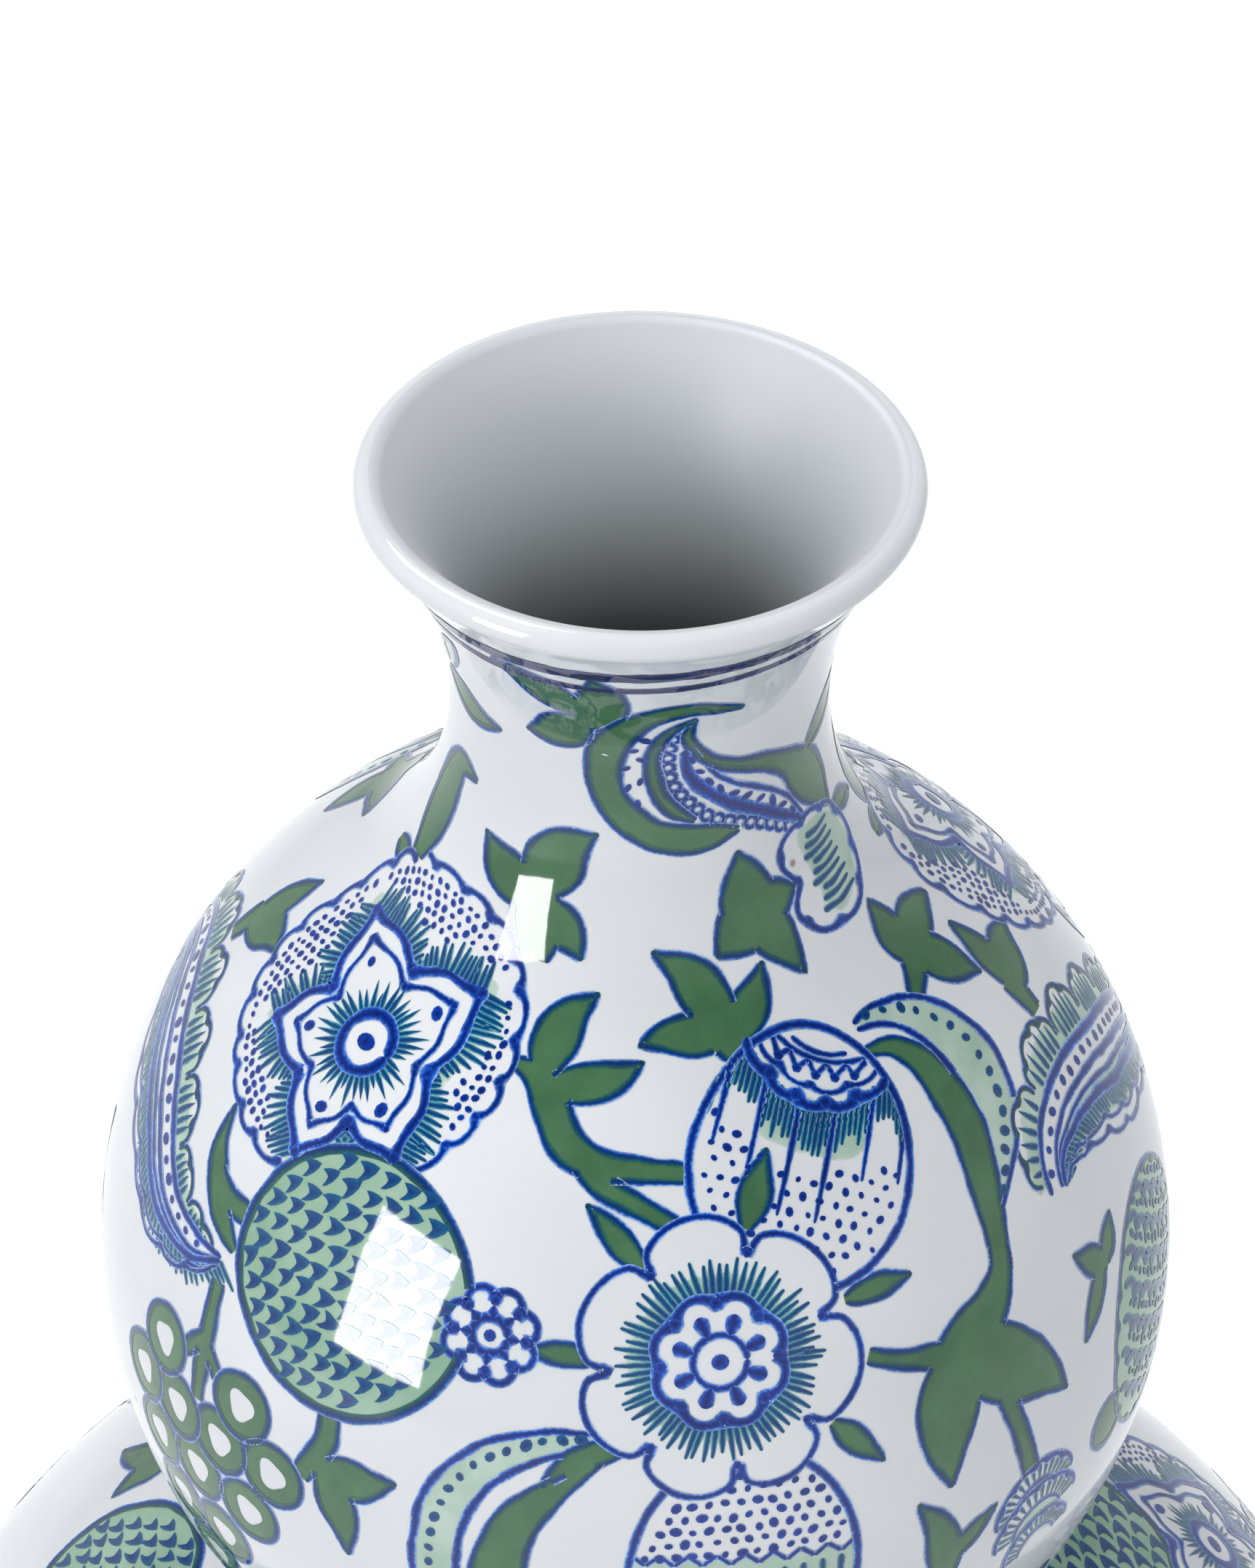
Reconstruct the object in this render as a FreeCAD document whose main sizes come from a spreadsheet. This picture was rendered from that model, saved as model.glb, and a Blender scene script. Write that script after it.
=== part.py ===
"""Double gourd vase of glazed porcelain, as the potter's sections that are luted together.

Frame: millimetres, +Z up, origin at the centre of the ring the vase stands on.
Every section is a turned wall: one half profile, revolved about the vase's axis.
The outer face is a chain of tangent arcs and the inner face runs one wall inside it:
belly arc, waist fillet, upper gourd, shoulder fillet, straight throat, flare, half-round lip.
"""
import FreeCAD, Part
import os
from math import atan2, cos, hypot, pi, sin, sqrt

import Sketcher

Vector = FreeCAD.Vector
doc = FreeCAD.newDocument("double_gourd_vase")

# Driving dimensions in millimetres
sheet = doc.addObject("Spreadsheet::Sheet", "Sizes")
SIZES = [
    ("wall_thickness", 4.8, "porcelain wall, the same all the way up"),
    ("floor_thickness", 7.0, "floor of the lower gourd"),
    ("foot_radius", 75.0, "where the belly meets the foot ring"),
    ("foot_height", 7.0, "foot ring, and depth of the recess under the floor"),
    ("foot_width", 7.0, "foot ring at its top, across the wall"),
    ("foot_taper", 1.6, "how far each side of the foot draws in towards its standing edge"),
    ("foot_edge", 1.3, "rounding of the standing edge"),
    ("belly_offset", 31.5, "centre of the belly arc, out from the axis"),
    ("belly_arc", 103.0, "radius of the lower gourd's profile"),
    ("waist_radius", 62.3, "narrowest place between the gourds"),
    ("waist_fillet", 9.0, "hollow curve of the waist"),
    ("upper_radius", 85.0, "upper gourd, a ball"),
    ("shoulder_fillet", 46.0, "hollow curve where the neck leaves the upper gourd"),
    ("throat_radius", 28.9, "outside of the straight throat"),
    ("throat_length", 2.0, "straight part of the neck"),
    ("flare_arc", 54.0, "radius of the trumpet curve"),
    ("flare_reach", 13.9, "how far the lip stands out beyond the throat"),
    ("rim_band", 9.0, "height of the white band that carries the lip"),
]
size = {}
for row, (alias, value, note) in enumerate(SIZES, start=1):
    sheet.set(f"A{row}", alias)
    sheet.set(f"B{row}", str(value))
    sheet.set(f"C{row}", note)
    sheet.setAlias(f"B{row}", alias)
doc.recompute()
for alias, value, note in SIZES:
    size[alias] = float(getattr(sheet, alias))

wall = size["wall_thickness"]


# Centres of the profile's arcs, as (radius from the axis, height)
def rise(reach, run):
    """Height of a right triangle from its long side and its base."""
    return sqrt(reach * reach - run * run)


belly_centre = (
    size["belly_offset"],
    size["foot_height"] + rise(size["belly_arc"], size["foot_radius"] - size["belly_offset"]),
)
waist_run = size["waist_radius"] + size["waist_fillet"]
waist_centre = (
    waist_run,
    belly_centre[1] + rise(size["belly_arc"] + size["waist_fillet"], waist_run - size["belly_offset"]),
)
upper_centre = (
    0.0,
    waist_centre[1] + rise(size["upper_radius"] + size["waist_fillet"], waist_run),
)
shoulder_run = size["throat_radius"] + size["shoulder_fillet"]
shoulder_centre = (
    shoulder_run,
    upper_centre[1] + rise(size["upper_radius"] + size["shoulder_fillet"], shoulder_run),
)
flare_centre = (
    size["throat_radius"] + size["flare_arc"],
    shoulder_centre[1] + size["throat_length"],
)
lip_run = size["throat_radius"] + size["flare_reach"] - wall / 2
lip_centre = (
    lip_run,
    flare_centre[1] + rise(size["flare_arc"] + wall / 2, flare_centre[0] - lip_run),
)


def bearing(start, end):
    """Angle of the line from one point to another, in radians."""
    return atan2(end[1] - start[1], end[0] - start[0])


def along(centre, angle, distance):
    """The point at a distance from a centre."""
    return (centre[0] + distance * cos(angle), centre[1] + distance * sin(angle))


# Sketch helpers: geometry is drawn at its computed place, then held there by constraints
class Profile:
    """A half profile on the XZ plane of its own body."""

    def __init__(self, label):
        self.body = doc.addObject("PartDesign::Body", label)
        self.body.Label = label
        plane = next(f for f in self.body.Origin.OriginFeatures if f.Role == "XZ_Plane")
        self.sketch = self.body.newObject("Sketcher::SketchObject", f"{label}_profile")
        self.sketch.AttachmentSupport = [(plane, "")]
        self.sketch.MapMode = "FlatFace"

    def line(self, start, end):
        return self.sketch.addGeometry(
            Part.LineSegment(Vector(*start, 0), Vector(*end, 0)), False)

    def arc(self, centre, radius, first, last):
        circle = Part.Circle(Vector(*centre, 0), Vector(0, 0, 1), radius)
        return self.sketch.addGeometry(Part.ArcOfCircle(circle, first, last), False)

    def point(self, place):
        return self.sketch.addGeometry(Part.Point(Vector(*place, 0)), True)

    def hold(self, *constraint):
        return self.sketch.addConstraint(Sketcher.Constraint(*constraint))

    def bind(self, name, formula, *constraint):
        """A sized constraint whose value follows the sheet."""
        index = self.hold(*constraint)
        self.sketch.renameConstraint(index, name)
        self.sketch.setExpression(f"Constraints.{name}", formula)

    def join(self, *ends):
        """Closes the outline: each (geometry, end) meets the next one's start."""
        for (first, first_end), (second, second_end) in zip(ends[::2], ends[1::2]):
            self.hold("Coincident", first, first_end, second, second_end)

    def pin(self, name, geometry, end, run, height):
        """Fixes a point by its distance from the axis and its height."""
        if run == "0":
            self.hold("PointOnObject", geometry, end, -2)
        else:
            self.bind(f"{name}_run", run, "DistanceX", -1, 1, geometry, end,
                      self.place(geometry, end).x)
        self.bind(f"{name}_height", height, "DistanceY", -1, 1, geometry, end,
                  self.place(geometry, end).y)

    def place(self, geometry, end):
        return self.sketch.getPoint(geometry, end)

    def revolve(self):
        turn = self.body.newObject("PartDesign::Revolution", f"{self.body.Label}_turned")
        turn.Profile = self.sketch
        turn.ReferenceAxis = (self.sketch, ["V_Axis"])
        turn.Angle = 360
        self.sketch.Visibility = False
        return self.body


START, END, CENTRE = 1, 2, 3

# Heights and places in the sheet's own words, for the constraints
RISE = "sqrt(({0}) ^ 2 - ({1}) ^ 2)"
cell = {alias: f"Sizes.{alias}" for alias in size}
BELLY_HEIGHT = f"{cell['foot_height']} + " + RISE.format(
    cell["belly_arc"], f"{cell['foot_radius']} - {cell['belly_offset']}")
WAIST_RUN = f"{cell['waist_radius']} + {cell['waist_fillet']}"
WAIST_HEIGHT = f"{BELLY_HEIGHT} + " + RISE.format(
    f"{cell['belly_arc']} + {cell['waist_fillet']}", f"{WAIST_RUN} - {cell['belly_offset']}")
UPPER_HEIGHT = f"{WAIST_HEIGHT} + " + RISE.format(
    f"{cell['upper_radius']} + {cell['waist_fillet']}", WAIST_RUN)
SHOULDER_RUN = f"{cell['throat_radius']} + {cell['shoulder_fillet']}"
SHOULDER_HEIGHT = f"{UPPER_HEIGHT} + " + RISE.format(
    f"{cell['upper_radius']} + {cell['shoulder_fillet']}", SHOULDER_RUN)
FLARE_RUN = f"{cell['throat_radius']} + {cell['flare_arc']}"
FLARE_HEIGHT = f"{SHOULDER_HEIGHT} + {cell['throat_length']}"
LIP_RUN = f"{cell['throat_radius']} + {cell['flare_reach']} - {cell['wall_thickness']} / 2"
LIP_HEIGHT = f"{FLARE_HEIGHT} + " + RISE.format(
    f"{cell['flare_arc']} + {cell['wall_thickness']} / 2", f"{FLARE_RUN} - ({LIP_RUN})")


def wall_sector(profile, name, centre, place, outside, inside, first, last):
    """Two arcs about one centre, one wall apart, joined by straight luting faces.

    outside and inside are (radius, formula); first and last are bearings from the centre.
    Returns the outer arc, the last face, the inner arc and the first face.
    """
    outer = profile.arc(centre, outside[0], first, last)
    inner = profile.arc(centre, inside[0], first, last)
    last_face = profile.line(along(centre, last, outside[0]), along(centre, last, inside[0]))
    first_face = profile.line(along(centre, first, inside[0]), along(centre, first, outside[0]))
    profile.join(
        (outer, END), (last_face, START), (last_face, END), (inner, END),
        (inner, START), (first_face, START), (first_face, END), (outer, START))
    profile.hold("Coincident", outer, CENTRE, inner, CENTRE)
    profile.pin(name, outer, CENTRE, *place)
    profile.bind(f"{name}_outside", outside[1], "Radius", outer, outside[0])
    profile.bind(f"{name}_inside", inside[1], "Radius", inner, inside[0])
    return outer, last_face, inner, first_face


def through(profile, name, arc, face, centre, place):
    """Lays a luting face on the line through its own arc's centre and a neighbour's."""
    mark = profile.point(centre)
    profile.pin(name, mark, START, *place)
    profile.hold("PointOnObject", mark, START, face)
    profile.hold("PointOnObject", arc, CENTRE, face)


def level(profile, outer, face):
    """Lays a luting face level with its arc's centre, at the widest line."""
    profile.hold("PointOnObject", outer, CENTRE, face)
    profile.hold("Horizontal", face)


BELLY = (cell["belly_offset"], BELLY_HEIGHT)
WAIST = (WAIST_RUN, WAIST_HEIGHT)
UPPER = ("0", UPPER_HEIGHT)
SHOULDER = (SHOULDER_RUN, SHOULDER_HEIGHT)
FLARE = (FLARE_RUN, FLARE_HEIGHT)


# Foot ring: a turned band with drawn-in sides and a rounded standing edge
def make_foot_ring():
    foot = Profile("foot_ring")
    outside, high = size["foot_radius"], size["foot_height"]
    inside, draw, edge = outside - size["foot_width"], size["foot_taper"], size["foot_edge"]
    lean = atan2(draw, high)
    # each side meets the standing edge by a round of this radius
    reach = edge * cos(lean) - edge * sin(lean) * draw / high
    lift = edge + edge * sin(lean)
    slope = draw / high
    round_out = (outside - slope * (high - lift) - edge * cos(lean), edge)
    round_in = (inside + slope * (high - lift) + edge * cos(lean), edge)
    top = foot.line((inside, high), (outside, high))
    side_out = foot.line((outside, high), along(round_out, -lean, edge))
    turn_out = foot.arc(round_out, edge, -pi / 2, -lean)
    stand = foot.line((round_out[0], 0), (round_in[0], 0))
    turn_in = foot.arc(round_in, edge, pi + lean, 3 * pi / 2)
    side_in = foot.line(along(round_in, pi + lean, edge), (inside, high))
    foot.join((top, END), (side_out, START), (side_in, END), (top, START))
    foot.hold("Tangent", side_out, END, turn_out, END)
    foot.hold("Tangent", turn_out, START, stand, START)
    foot.hold("Tangent", stand, END, turn_in, END)
    foot.hold("Tangent", turn_in, START, side_in, START)
    foot.hold("Horizontal", top)
    foot.hold("PointOnObject", stand, START, -1)
    foot.hold("Horizontal", stand)
    foot.pin("top", top, END, cell["foot_radius"], cell["foot_height"])
    foot.bind("width", cell["foot_width"], "DistanceX", top, START, top, END, size["foot_width"])
    foot.bind("edge_out", cell["foot_edge"], "Radius", turn_out, edge)
    foot.bind("edge_in", cell["foot_edge"], "Radius", turn_in, edge)
    lean_formula = f"atan({cell['foot_taper']} / {cell['foot_height']})"
    foot.bind("lean_out", f"90 deg - {lean_formula}", "Angle", -1, 1, side_out, END, pi / 2 - lean)
    foot.bind("lean_in", f"90 deg + {lean_formula}", "Angle", -1, 1, side_in, START, pi / 2 + lean)
    return foot.revolve()


# Lower gourd, bottom half: floor with the belly wall up to its widest line
def make_lower_gourd_base():
    base = Profile("lower_gourd_base")
    underside = size["foot_height"]
    floor = underside + size["floor_thickness"]
    outer_radius = size["belly_arc"]
    inner_radius = outer_radius - wall
    centre_run, centre_height = belly_centre
    foot_point = (size["foot_radius"], underside)
    floor_point = (centre_run + rise(inner_radius, centre_height - floor), floor)
    outer = base.arc(belly_centre, outer_radius, bearing(belly_centre, foot_point), 0)
    seam = base.line(along(belly_centre, 0, outer_radius), along(belly_centre, 0, inner_radius))
    inner = base.arc(belly_centre, inner_radius, bearing(belly_centre, floor_point), 0)
    floor_top = base.line(floor_point, (0, floor))
    axis = base.line((0, floor), (0, underside))
    floor_under = base.line((0, underside), foot_point)
    base.join(
        (outer, END), (seam, START), (seam, END), (inner, END),
        (inner, START), (floor_top, START), (floor_top, END), (axis, START),
        (axis, END), (floor_under, START), (floor_under, END), (outer, START))
    base.hold("Coincident", outer, CENTRE, inner, CENTRE)
    base.hold("PointOnObject", axis, START, -2)
    base.hold("Vertical", axis)
    base.hold("Horizontal", floor_top)
    base.hold("Horizontal", floor_under)
    base.pin("belly", outer, CENTRE, *BELLY)
    level(base, outer, seam)
    base.bind("belly_outside", cell["belly_arc"], "Radius", outer, outer_radius)
    base.bind("belly_inside", f"{cell['belly_arc']} - {cell['wall_thickness']}",
              "Radius", inner, inner_radius)
    base.bind("underside", cell["foot_height"], "DistanceY", -1, 1, axis, END, underside)
    base.bind("floor", cell["floor_thickness"], "DistanceY", axis, END, axis, START,
              size["floor_thickness"])
    return base.revolve()


# Lower gourd, top half: from the widest line to the waist
def make_lower_gourd_top():
    top = Profile("lower_gourd_top")
    outer, last, inner, first = wall_sector(
        top, "belly", belly_centre, BELLY,
        (size["belly_arc"], cell["belly_arc"]),
        (size["belly_arc"] - wall, f"{cell['belly_arc']} - {cell['wall_thickness']}"),
        0, bearing(belly_centre, waist_centre))
    level(top, outer, first)
    through(top, "waist", outer, last, waist_centre, WAIST)
    return top.revolve()


# Waist collar: the hollow ring that joins the two gourds
def make_waist_collar():
    waist = Profile("waist_collar")
    outer, last, inner, first = wall_sector(
        waist, "waist", waist_centre, WAIST,
        (size["waist_fillet"], cell["waist_fillet"]),
        (size["waist_fillet"] + wall, f"{cell['waist_fillet']} + {cell['wall_thickness']}"),
        bearing(waist_centre, upper_centre), bearing(waist_centre, belly_centre) + 2 * pi)
    through(waist, "upper", outer, first, upper_centre, UPPER)
    through(waist, "belly", outer, last, belly_centre, BELLY)
    return waist.revolve()


# Upper gourd, bottom half: from the waist to its widest line
def make_upper_gourd_base():
    base = Profile("upper_gourd_base")
    outer, last, inner, first = wall_sector(
        base, "upper", upper_centre, UPPER,
        (size["upper_radius"], cell["upper_radius"]),
        (size["upper_radius"] - wall, f"{cell['upper_radius']} - {cell['wall_thickness']}"),
        bearing(upper_centre, waist_centre), 0)
    through(base, "waist", outer, first, waist_centre, WAIST)
    level(base, outer, last)
    return base.revolve()


# Upper gourd, top half: from the widest line to the shoulder
def make_upper_gourd_top():
    top = Profile("upper_gourd_top")
    outer, last, inner, first = wall_sector(
        top, "upper", upper_centre, UPPER,
        (size["upper_radius"], cell["upper_radius"]),
        (size["upper_radius"] - wall, f"{cell['upper_radius']} - {cell['wall_thickness']}"),
        0, bearing(upper_centre, shoulder_centre))
    level(top, outer, first)
    through(top, "shoulder", outer, last, shoulder_centre, SHOULDER)
    return top.revolve()


# Angle at which the neck ends and the mouth rim begins, seen from the flare's centre
rim_height = lip_centre[1] - size["rim_band"]
rim_angle = pi - atan2(rim_height - flare_centre[1],
                         rise(size["flare_arc"], rim_height - flare_centre[1]))
RIM_HEIGHT = f"{LIP_HEIGHT} - {cell['rim_band']}"


# Neck: shoulder fillet, straight throat and the lower part of the flare
def make_neck():
    neck = Profile("neck")
    foot_angle = bearing(shoulder_centre, upper_centre) + 2 * pi
    fillet_out, fillet_in = size["shoulder_fillet"], size["shoulder_fillet"] + wall
    flare_out, flare_in = size["flare_arc"], size["flare_arc"] + wall
    outside, inside = size["throat_radius"], size["throat_radius"] - wall
    low, high = shoulder_centre[1], flare_centre[1]
    shoulder_outer = neck.arc(shoulder_centre, fillet_out, pi, foot_angle)
    throat_outer = neck.line((outside, low), (outside, high))
    flare_outer = neck.arc(flare_centre, flare_out, rim_angle, pi)
    rim_seam = neck.line(along(flare_centre, rim_angle, flare_out),
                         along(flare_centre, rim_angle, flare_in))
    flare_inner = neck.arc(flare_centre, flare_in, rim_angle, pi)
    throat_inner = neck.line((inside, high), (inside, low))
    shoulder_inner = neck.arc(shoulder_centre, fillet_in, pi, foot_angle)
    foot_seam = neck.line(along(shoulder_centre, foot_angle, fillet_in),
                          along(shoulder_centre, foot_angle, fillet_out))
    neck.join(
        (foot_seam, END), (shoulder_outer, END), (foot_seam, START), (shoulder_inner, END),
        (rim_seam, START), (flare_outer, START), (rim_seam, END), (flare_inner, START))
    neck.join(
        (shoulder_outer, START), (throat_outer, START), (throat_outer, END), (flare_outer, END),
        (flare_inner, END), (throat_inner, START), (throat_inner, END), (shoulder_inner, START))
    neck.hold("Coincident", shoulder_outer, CENTRE, shoulder_inner, CENTRE)
    neck.hold("Coincident", flare_outer, CENTRE, flare_inner, CENTRE)
    neck.pin("shoulder", shoulder_outer, CENTRE, *SHOULDER)
    neck.pin("flare", flare_outer, CENTRE, *FLARE)
    for name, arc, radius, formula in (
            ("shoulder_outside", shoulder_outer, fillet_out, cell["shoulder_fillet"]),
            ("shoulder_inside", shoulder_inner, fillet_in,
             f"{cell['shoulder_fillet']} + {cell['wall_thickness']}"),
            ("flare_outside", flare_outer, flare_out, cell["flare_arc"]),
            ("flare_inside", flare_inner, flare_in,
             f"{cell['flare_arc']} + {cell['wall_thickness']}")):
        neck.bind(name, formula, "Radius", arc, radius)
    neck.bind("throat_low", SHOULDER_HEIGHT, "DistanceY", -1, 1, throat_outer, START, low)
    neck.bind("throat_high", FLARE_HEIGHT, "DistanceY", -1, 1, throat_outer, END, high)
    neck.bind("throat_low_inside", SHOULDER_HEIGHT, "DistanceY", -1, 1, throat_inner, END, low)
    neck.bind("throat_high_inside", FLARE_HEIGHT, "DistanceY", -1, 1, throat_inner, START, high)
    neck.hold("PointOnObject", flare_outer, CENTRE, rim_seam)
    neck.bind("rim_height", RIM_HEIGHT, "DistanceY", -1, 1, rim_seam, START, rim_height)
    through(neck, "upper", shoulder_outer, foot_seam, upper_centre, UPPER)
    return neck.revolve()


# Mouth rim: the end of the flare, closed by a half-round lip
def make_mouth_rim():
    rim = Profile("mouth_rim")
    flare_out, flare_in = size["flare_arc"], size["flare_arc"] + wall
    lip_angle = bearing(flare_centre, lip_centre)
    flare_outer = rim.arc(flare_centre, flare_out, lip_angle, rim_angle)
    seam = rim.line(along(flare_centre, rim_angle, flare_out),
                    along(flare_centre, rim_angle, flare_in))
    flare_inner = rim.arc(flare_centre, flare_in, lip_angle, rim_angle)
    lip = rim.arc(lip_centre, wall / 2, lip_angle - pi, lip_angle)
    rim.join((flare_outer, END), (seam, START), (seam, END), (flare_inner, END))
    # the lip runs smoothly out of both faces, which gives it its radius and height
    rim.hold("Tangent", lip, END, flare_inner, START)
    rim.hold("Tangent", lip, START, flare_outer, START)
    rim.hold("Coincident", flare_outer, CENTRE, flare_inner, CENTRE)
    rim.hold("PointOnObject", flare_outer, CENTRE, seam)
    rim.pin("flare", flare_outer, CENTRE, *FLARE)
    rim.bind("lip_run", LIP_RUN, "DistanceX", -1, 1, lip, CENTRE, lip_centre[0])
    rim.bind("flare_outside", cell["flare_arc"], "Radius", flare_outer, flare_out)
    rim.bind("flare_inside", f"{cell['flare_arc']} + {cell['wall_thickness']}",
             "Radius", flare_inner, flare_in)
    rim.bind("seam_height", RIM_HEIGHT, "DistanceY", -1, 1, seam, START, rim_height)
    return rim.revolve()


SECTIONS = [
    make_foot_ring(),
    make_lower_gourd_base(),
    make_lower_gourd_top(),
    make_waist_collar(),
    make_upper_gourd_base(),
    make_upper_gourd_top(),
    make_neck(),
    make_mouth_rim(),
]
doc.recompute()

# Every object has to be in order before a section is written out
for item in doc.Objects:
    for state in ("Invalid", "Error"):
        if state in item.State:
            raise RuntimeError(f"{item.Name} is {state}")
os.makedirs("parts", exist_ok=True)
for section in SECTIONS:
    shape = section.Shape
    if shape.isNull() or not shape.isValid() or len(shape.Solids) != 1:
        raise RuntimeError(f"{section.Label} has no sound solid")
    shape.exportStep(f"parts/{section.Label}.step")
    box = shape.optimalBoundingBox(False, False)
    print(f"{section.Label}: height {box.ZMin:.2f} to {box.ZMax:.2f}, "
          f"radius {box.XMax:.2f}, volume {shape.Volume / 1000:.1f} cm3")
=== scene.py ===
# %% [markdown]
# # A double gourd vase in painted porcelain
#
# The real vase is thrown in sections, luted together, painted with cobalt under the glaze,
# fired, and touched in with green enamel. What the eye gets from it is three things: a very
# smooth white body with a glassy skin, a dense drawing in dark blue line, and flat green
# leaves laid a little carelessly over that line.
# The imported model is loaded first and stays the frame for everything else.

# %% Load the frame
import math

import bpy
import numpy as np
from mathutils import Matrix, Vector
from mathutils.geometry import delaunay_2d_cdt


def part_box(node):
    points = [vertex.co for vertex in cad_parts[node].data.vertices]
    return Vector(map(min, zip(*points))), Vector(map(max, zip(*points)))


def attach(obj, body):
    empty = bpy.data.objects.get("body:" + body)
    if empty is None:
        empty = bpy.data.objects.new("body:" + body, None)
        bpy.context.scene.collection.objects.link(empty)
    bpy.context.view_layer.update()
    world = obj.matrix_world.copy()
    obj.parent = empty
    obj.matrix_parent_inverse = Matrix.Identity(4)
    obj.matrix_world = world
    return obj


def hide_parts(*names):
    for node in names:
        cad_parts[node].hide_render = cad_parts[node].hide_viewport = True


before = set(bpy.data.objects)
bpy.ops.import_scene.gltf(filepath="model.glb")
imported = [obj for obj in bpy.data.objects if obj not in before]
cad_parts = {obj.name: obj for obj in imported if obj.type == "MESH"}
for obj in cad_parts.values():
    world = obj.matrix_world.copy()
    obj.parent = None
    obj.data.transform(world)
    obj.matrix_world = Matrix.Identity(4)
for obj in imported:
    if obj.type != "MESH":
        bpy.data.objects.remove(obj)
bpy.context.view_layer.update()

# %% [markdown]
# ## The vase's own sizes
#
# The outside of the vase is a chain of arcs that run smoothly into one another: belly,
# waist, upper gourd, shoulder, straight throat, flare, lip. The same sizes shape the solid
# model, so a wall or a brush mark that is placed by them lies exactly on it.
# They are in millimetres here, because a potter and a painter think in millimetres.

# %% Sizes of the turned form
MM = 0.001
WALL = 4.8
FLOOR = 7.0
FOOT_RADIUS = 75.0
FOOT_HEIGHT = 7.0
FOOT_WIDTH = 7.0
FOOT_TAPER = 1.6
FOOT_EDGE = 1.3
BELLY_OFFSET = 31.5
BELLY_ARC = 103.0
WAIST_RADIUS = 62.3
WAIST_FILLET = 9.0
UPPER_RADIUS = 85.0
SHOULDER_FILLET = 46.0
THROAT_RADIUS = 28.9
THROAT_LENGTH = 2.0
FLARE_ARC = 54.0
FLARE_REACH = 13.9
RIM_BAND = 9.0


def rise(reach, run):
    """Height of a right triangle from its long side and its base."""
    return math.sqrt(reach * reach - run * run)


def bearing(start, end):
    """Angle of the line between two points of the half profile."""
    return math.atan2(end[1] - start[1], end[0] - start[0])


belly = (BELLY_OFFSET, FOOT_HEIGHT + rise(BELLY_ARC, FOOT_RADIUS - BELLY_OFFSET))
waist_run = WAIST_RADIUS + WAIST_FILLET
waist = (waist_run, belly[1] + rise(BELLY_ARC + WAIST_FILLET, waist_run - BELLY_OFFSET))
upper = (0.0, waist[1] + rise(UPPER_RADIUS + WAIST_FILLET, waist_run))
shoulder_run = THROAT_RADIUS + SHOULDER_FILLET
shoulder = (shoulder_run, upper[1] + rise(UPPER_RADIUS + SHOULDER_FILLET, shoulder_run))
flare = (THROAT_RADIUS + FLARE_ARC, shoulder[1] + THROAT_LENGTH)
lip_run = THROAT_RADIUS + FLARE_REACH - WALL / 2
lip = (lip_run, flare[1] + rise(FLARE_ARC + WALL / 2, flare[0] - lip_run))
print("lip centre, mm:", [round(v, 2) for v in lip], "top:", round(lip[1] + WALL / 2, 2))

# %% [markdown]
# ## Turning a wall
#
# Each section is a half profile spun about the axis, as clay is on a wheel. A Screw
# modifier could spin it, but then Blender guesses the shading normals from the facets. Here
# every arc knows exactly which way it faces, so the mesh is written directly and given those
# directions as custom normals: the glaze then reflects without a ripple, and two sections
# that meet share one unbroken highlight.

# %% Arcs and lines of the half profile
SPIN = 288
LINE_STEP = 4.0


def arc_run(centre, radius, first, last, outward=1, step=2.0):
    """Points along an arc of the profile, and the way the surface faces at each."""
    count = max(4, int(abs(last - first) * radius / step) + 1)
    angle = np.linspace(first, last, count)
    away = np.stack([np.cos(angle), np.sin(angle)], 1)
    return np.array(centre) + radius * away, outward * away


def line_run(start, end, facing):
    """Points along a straight stretch of the profile, all facing the same way."""
    count = max(2, int(math.dist(start, end) / LINE_STEP) + 1)
    share = np.linspace(0, 1, count)[:, None]
    points = np.array(start) * (1 - share) + np.array(end) * share
    facing = np.array(facing, float)
    return points, np.repeat(facing[None] / np.linalg.norm(facing), count, 0)


def put(name, data):
    """An object with this mesh, lamp or lens, in the scene."""
    thing = bpy.data.objects.new(name, data)
    bpy.context.scene.collection.objects.link(thing)
    return thing


def turn(name, runs):
    """Spins a chain of runs about the axis; a chain that ends on the axis closes there."""
    outline, corners = [], []
    for points, facings in runs:
        joined = outline and np.allclose(outline[-1], points[0], atol=1e-6)
        first = len(outline) - 1 if joined else len(outline)
        outline.extend(points[1:] if joined else points)
        corners += [(first + k, facings[k], facings[k + 1]) for k in range(len(points) - 1)]
    if np.allclose(outline[0], outline[-1], atol=1e-6):
        outline.pop()
    count = len(outline)
    angles = np.linspace(0, 2 * math.pi, SPIN, endpoint=False)
    cosines, sines = np.cos(angles), np.sin(angles)
    place, points = [], []
    for radius, height in outline:
        if radius < 1e-6:
            place.append([len(points)] * SPIN)
            points.append((0, 0, height))
        else:
            place.append(range(len(points), len(points) + SPIN))
            points += zip(radius * cosines, radius * sines, [height] * SPIN)
    faces, normals = [], []
    for low, low_facing, high_facing in corners:
        high = (low + 1) % count
        for k in range(SPIN):
            n = (k + 1) % SPIN
            ring = [(place[low][k], low_facing, k), (place[low][n], low_facing, n),
                    (place[high][n], high_facing, n), (place[high][k], high_facing, k)]
            kept = [c for i, c in enumerate(ring) if c[0] != ring[i - 1][0]]
            faces.append([c[0] for c in kept])
            normals += [(c[1][0] * cosines[c[2]], c[1][0] * sines[c[2]], c[1][1]) for c in kept]
    mesh = bpy.data.meshes.new(name)
    mesh.from_pydata((np.array(points, float) * MM).tolist(), [], faces)
    mesh.shade_smooth()
    mesh.normals_split_custom_set(np.array(normals).tolist())
    mesh.update()
    return put(name, mesh)


print("points round the axis:", SPIN)


# %% [markdown]
# ## The eight sections
#
# Foot ring, two halves of the lower gourd, waist, two halves of the upper gourd, neck and
# mouth rim. Each is a closed wall of its own, with its flat luting faces, so that it stands
# for its solid, and the order of the runs goes once round its outline.

# %% Sections of the vase
INNER_STEP = 4.0


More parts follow.
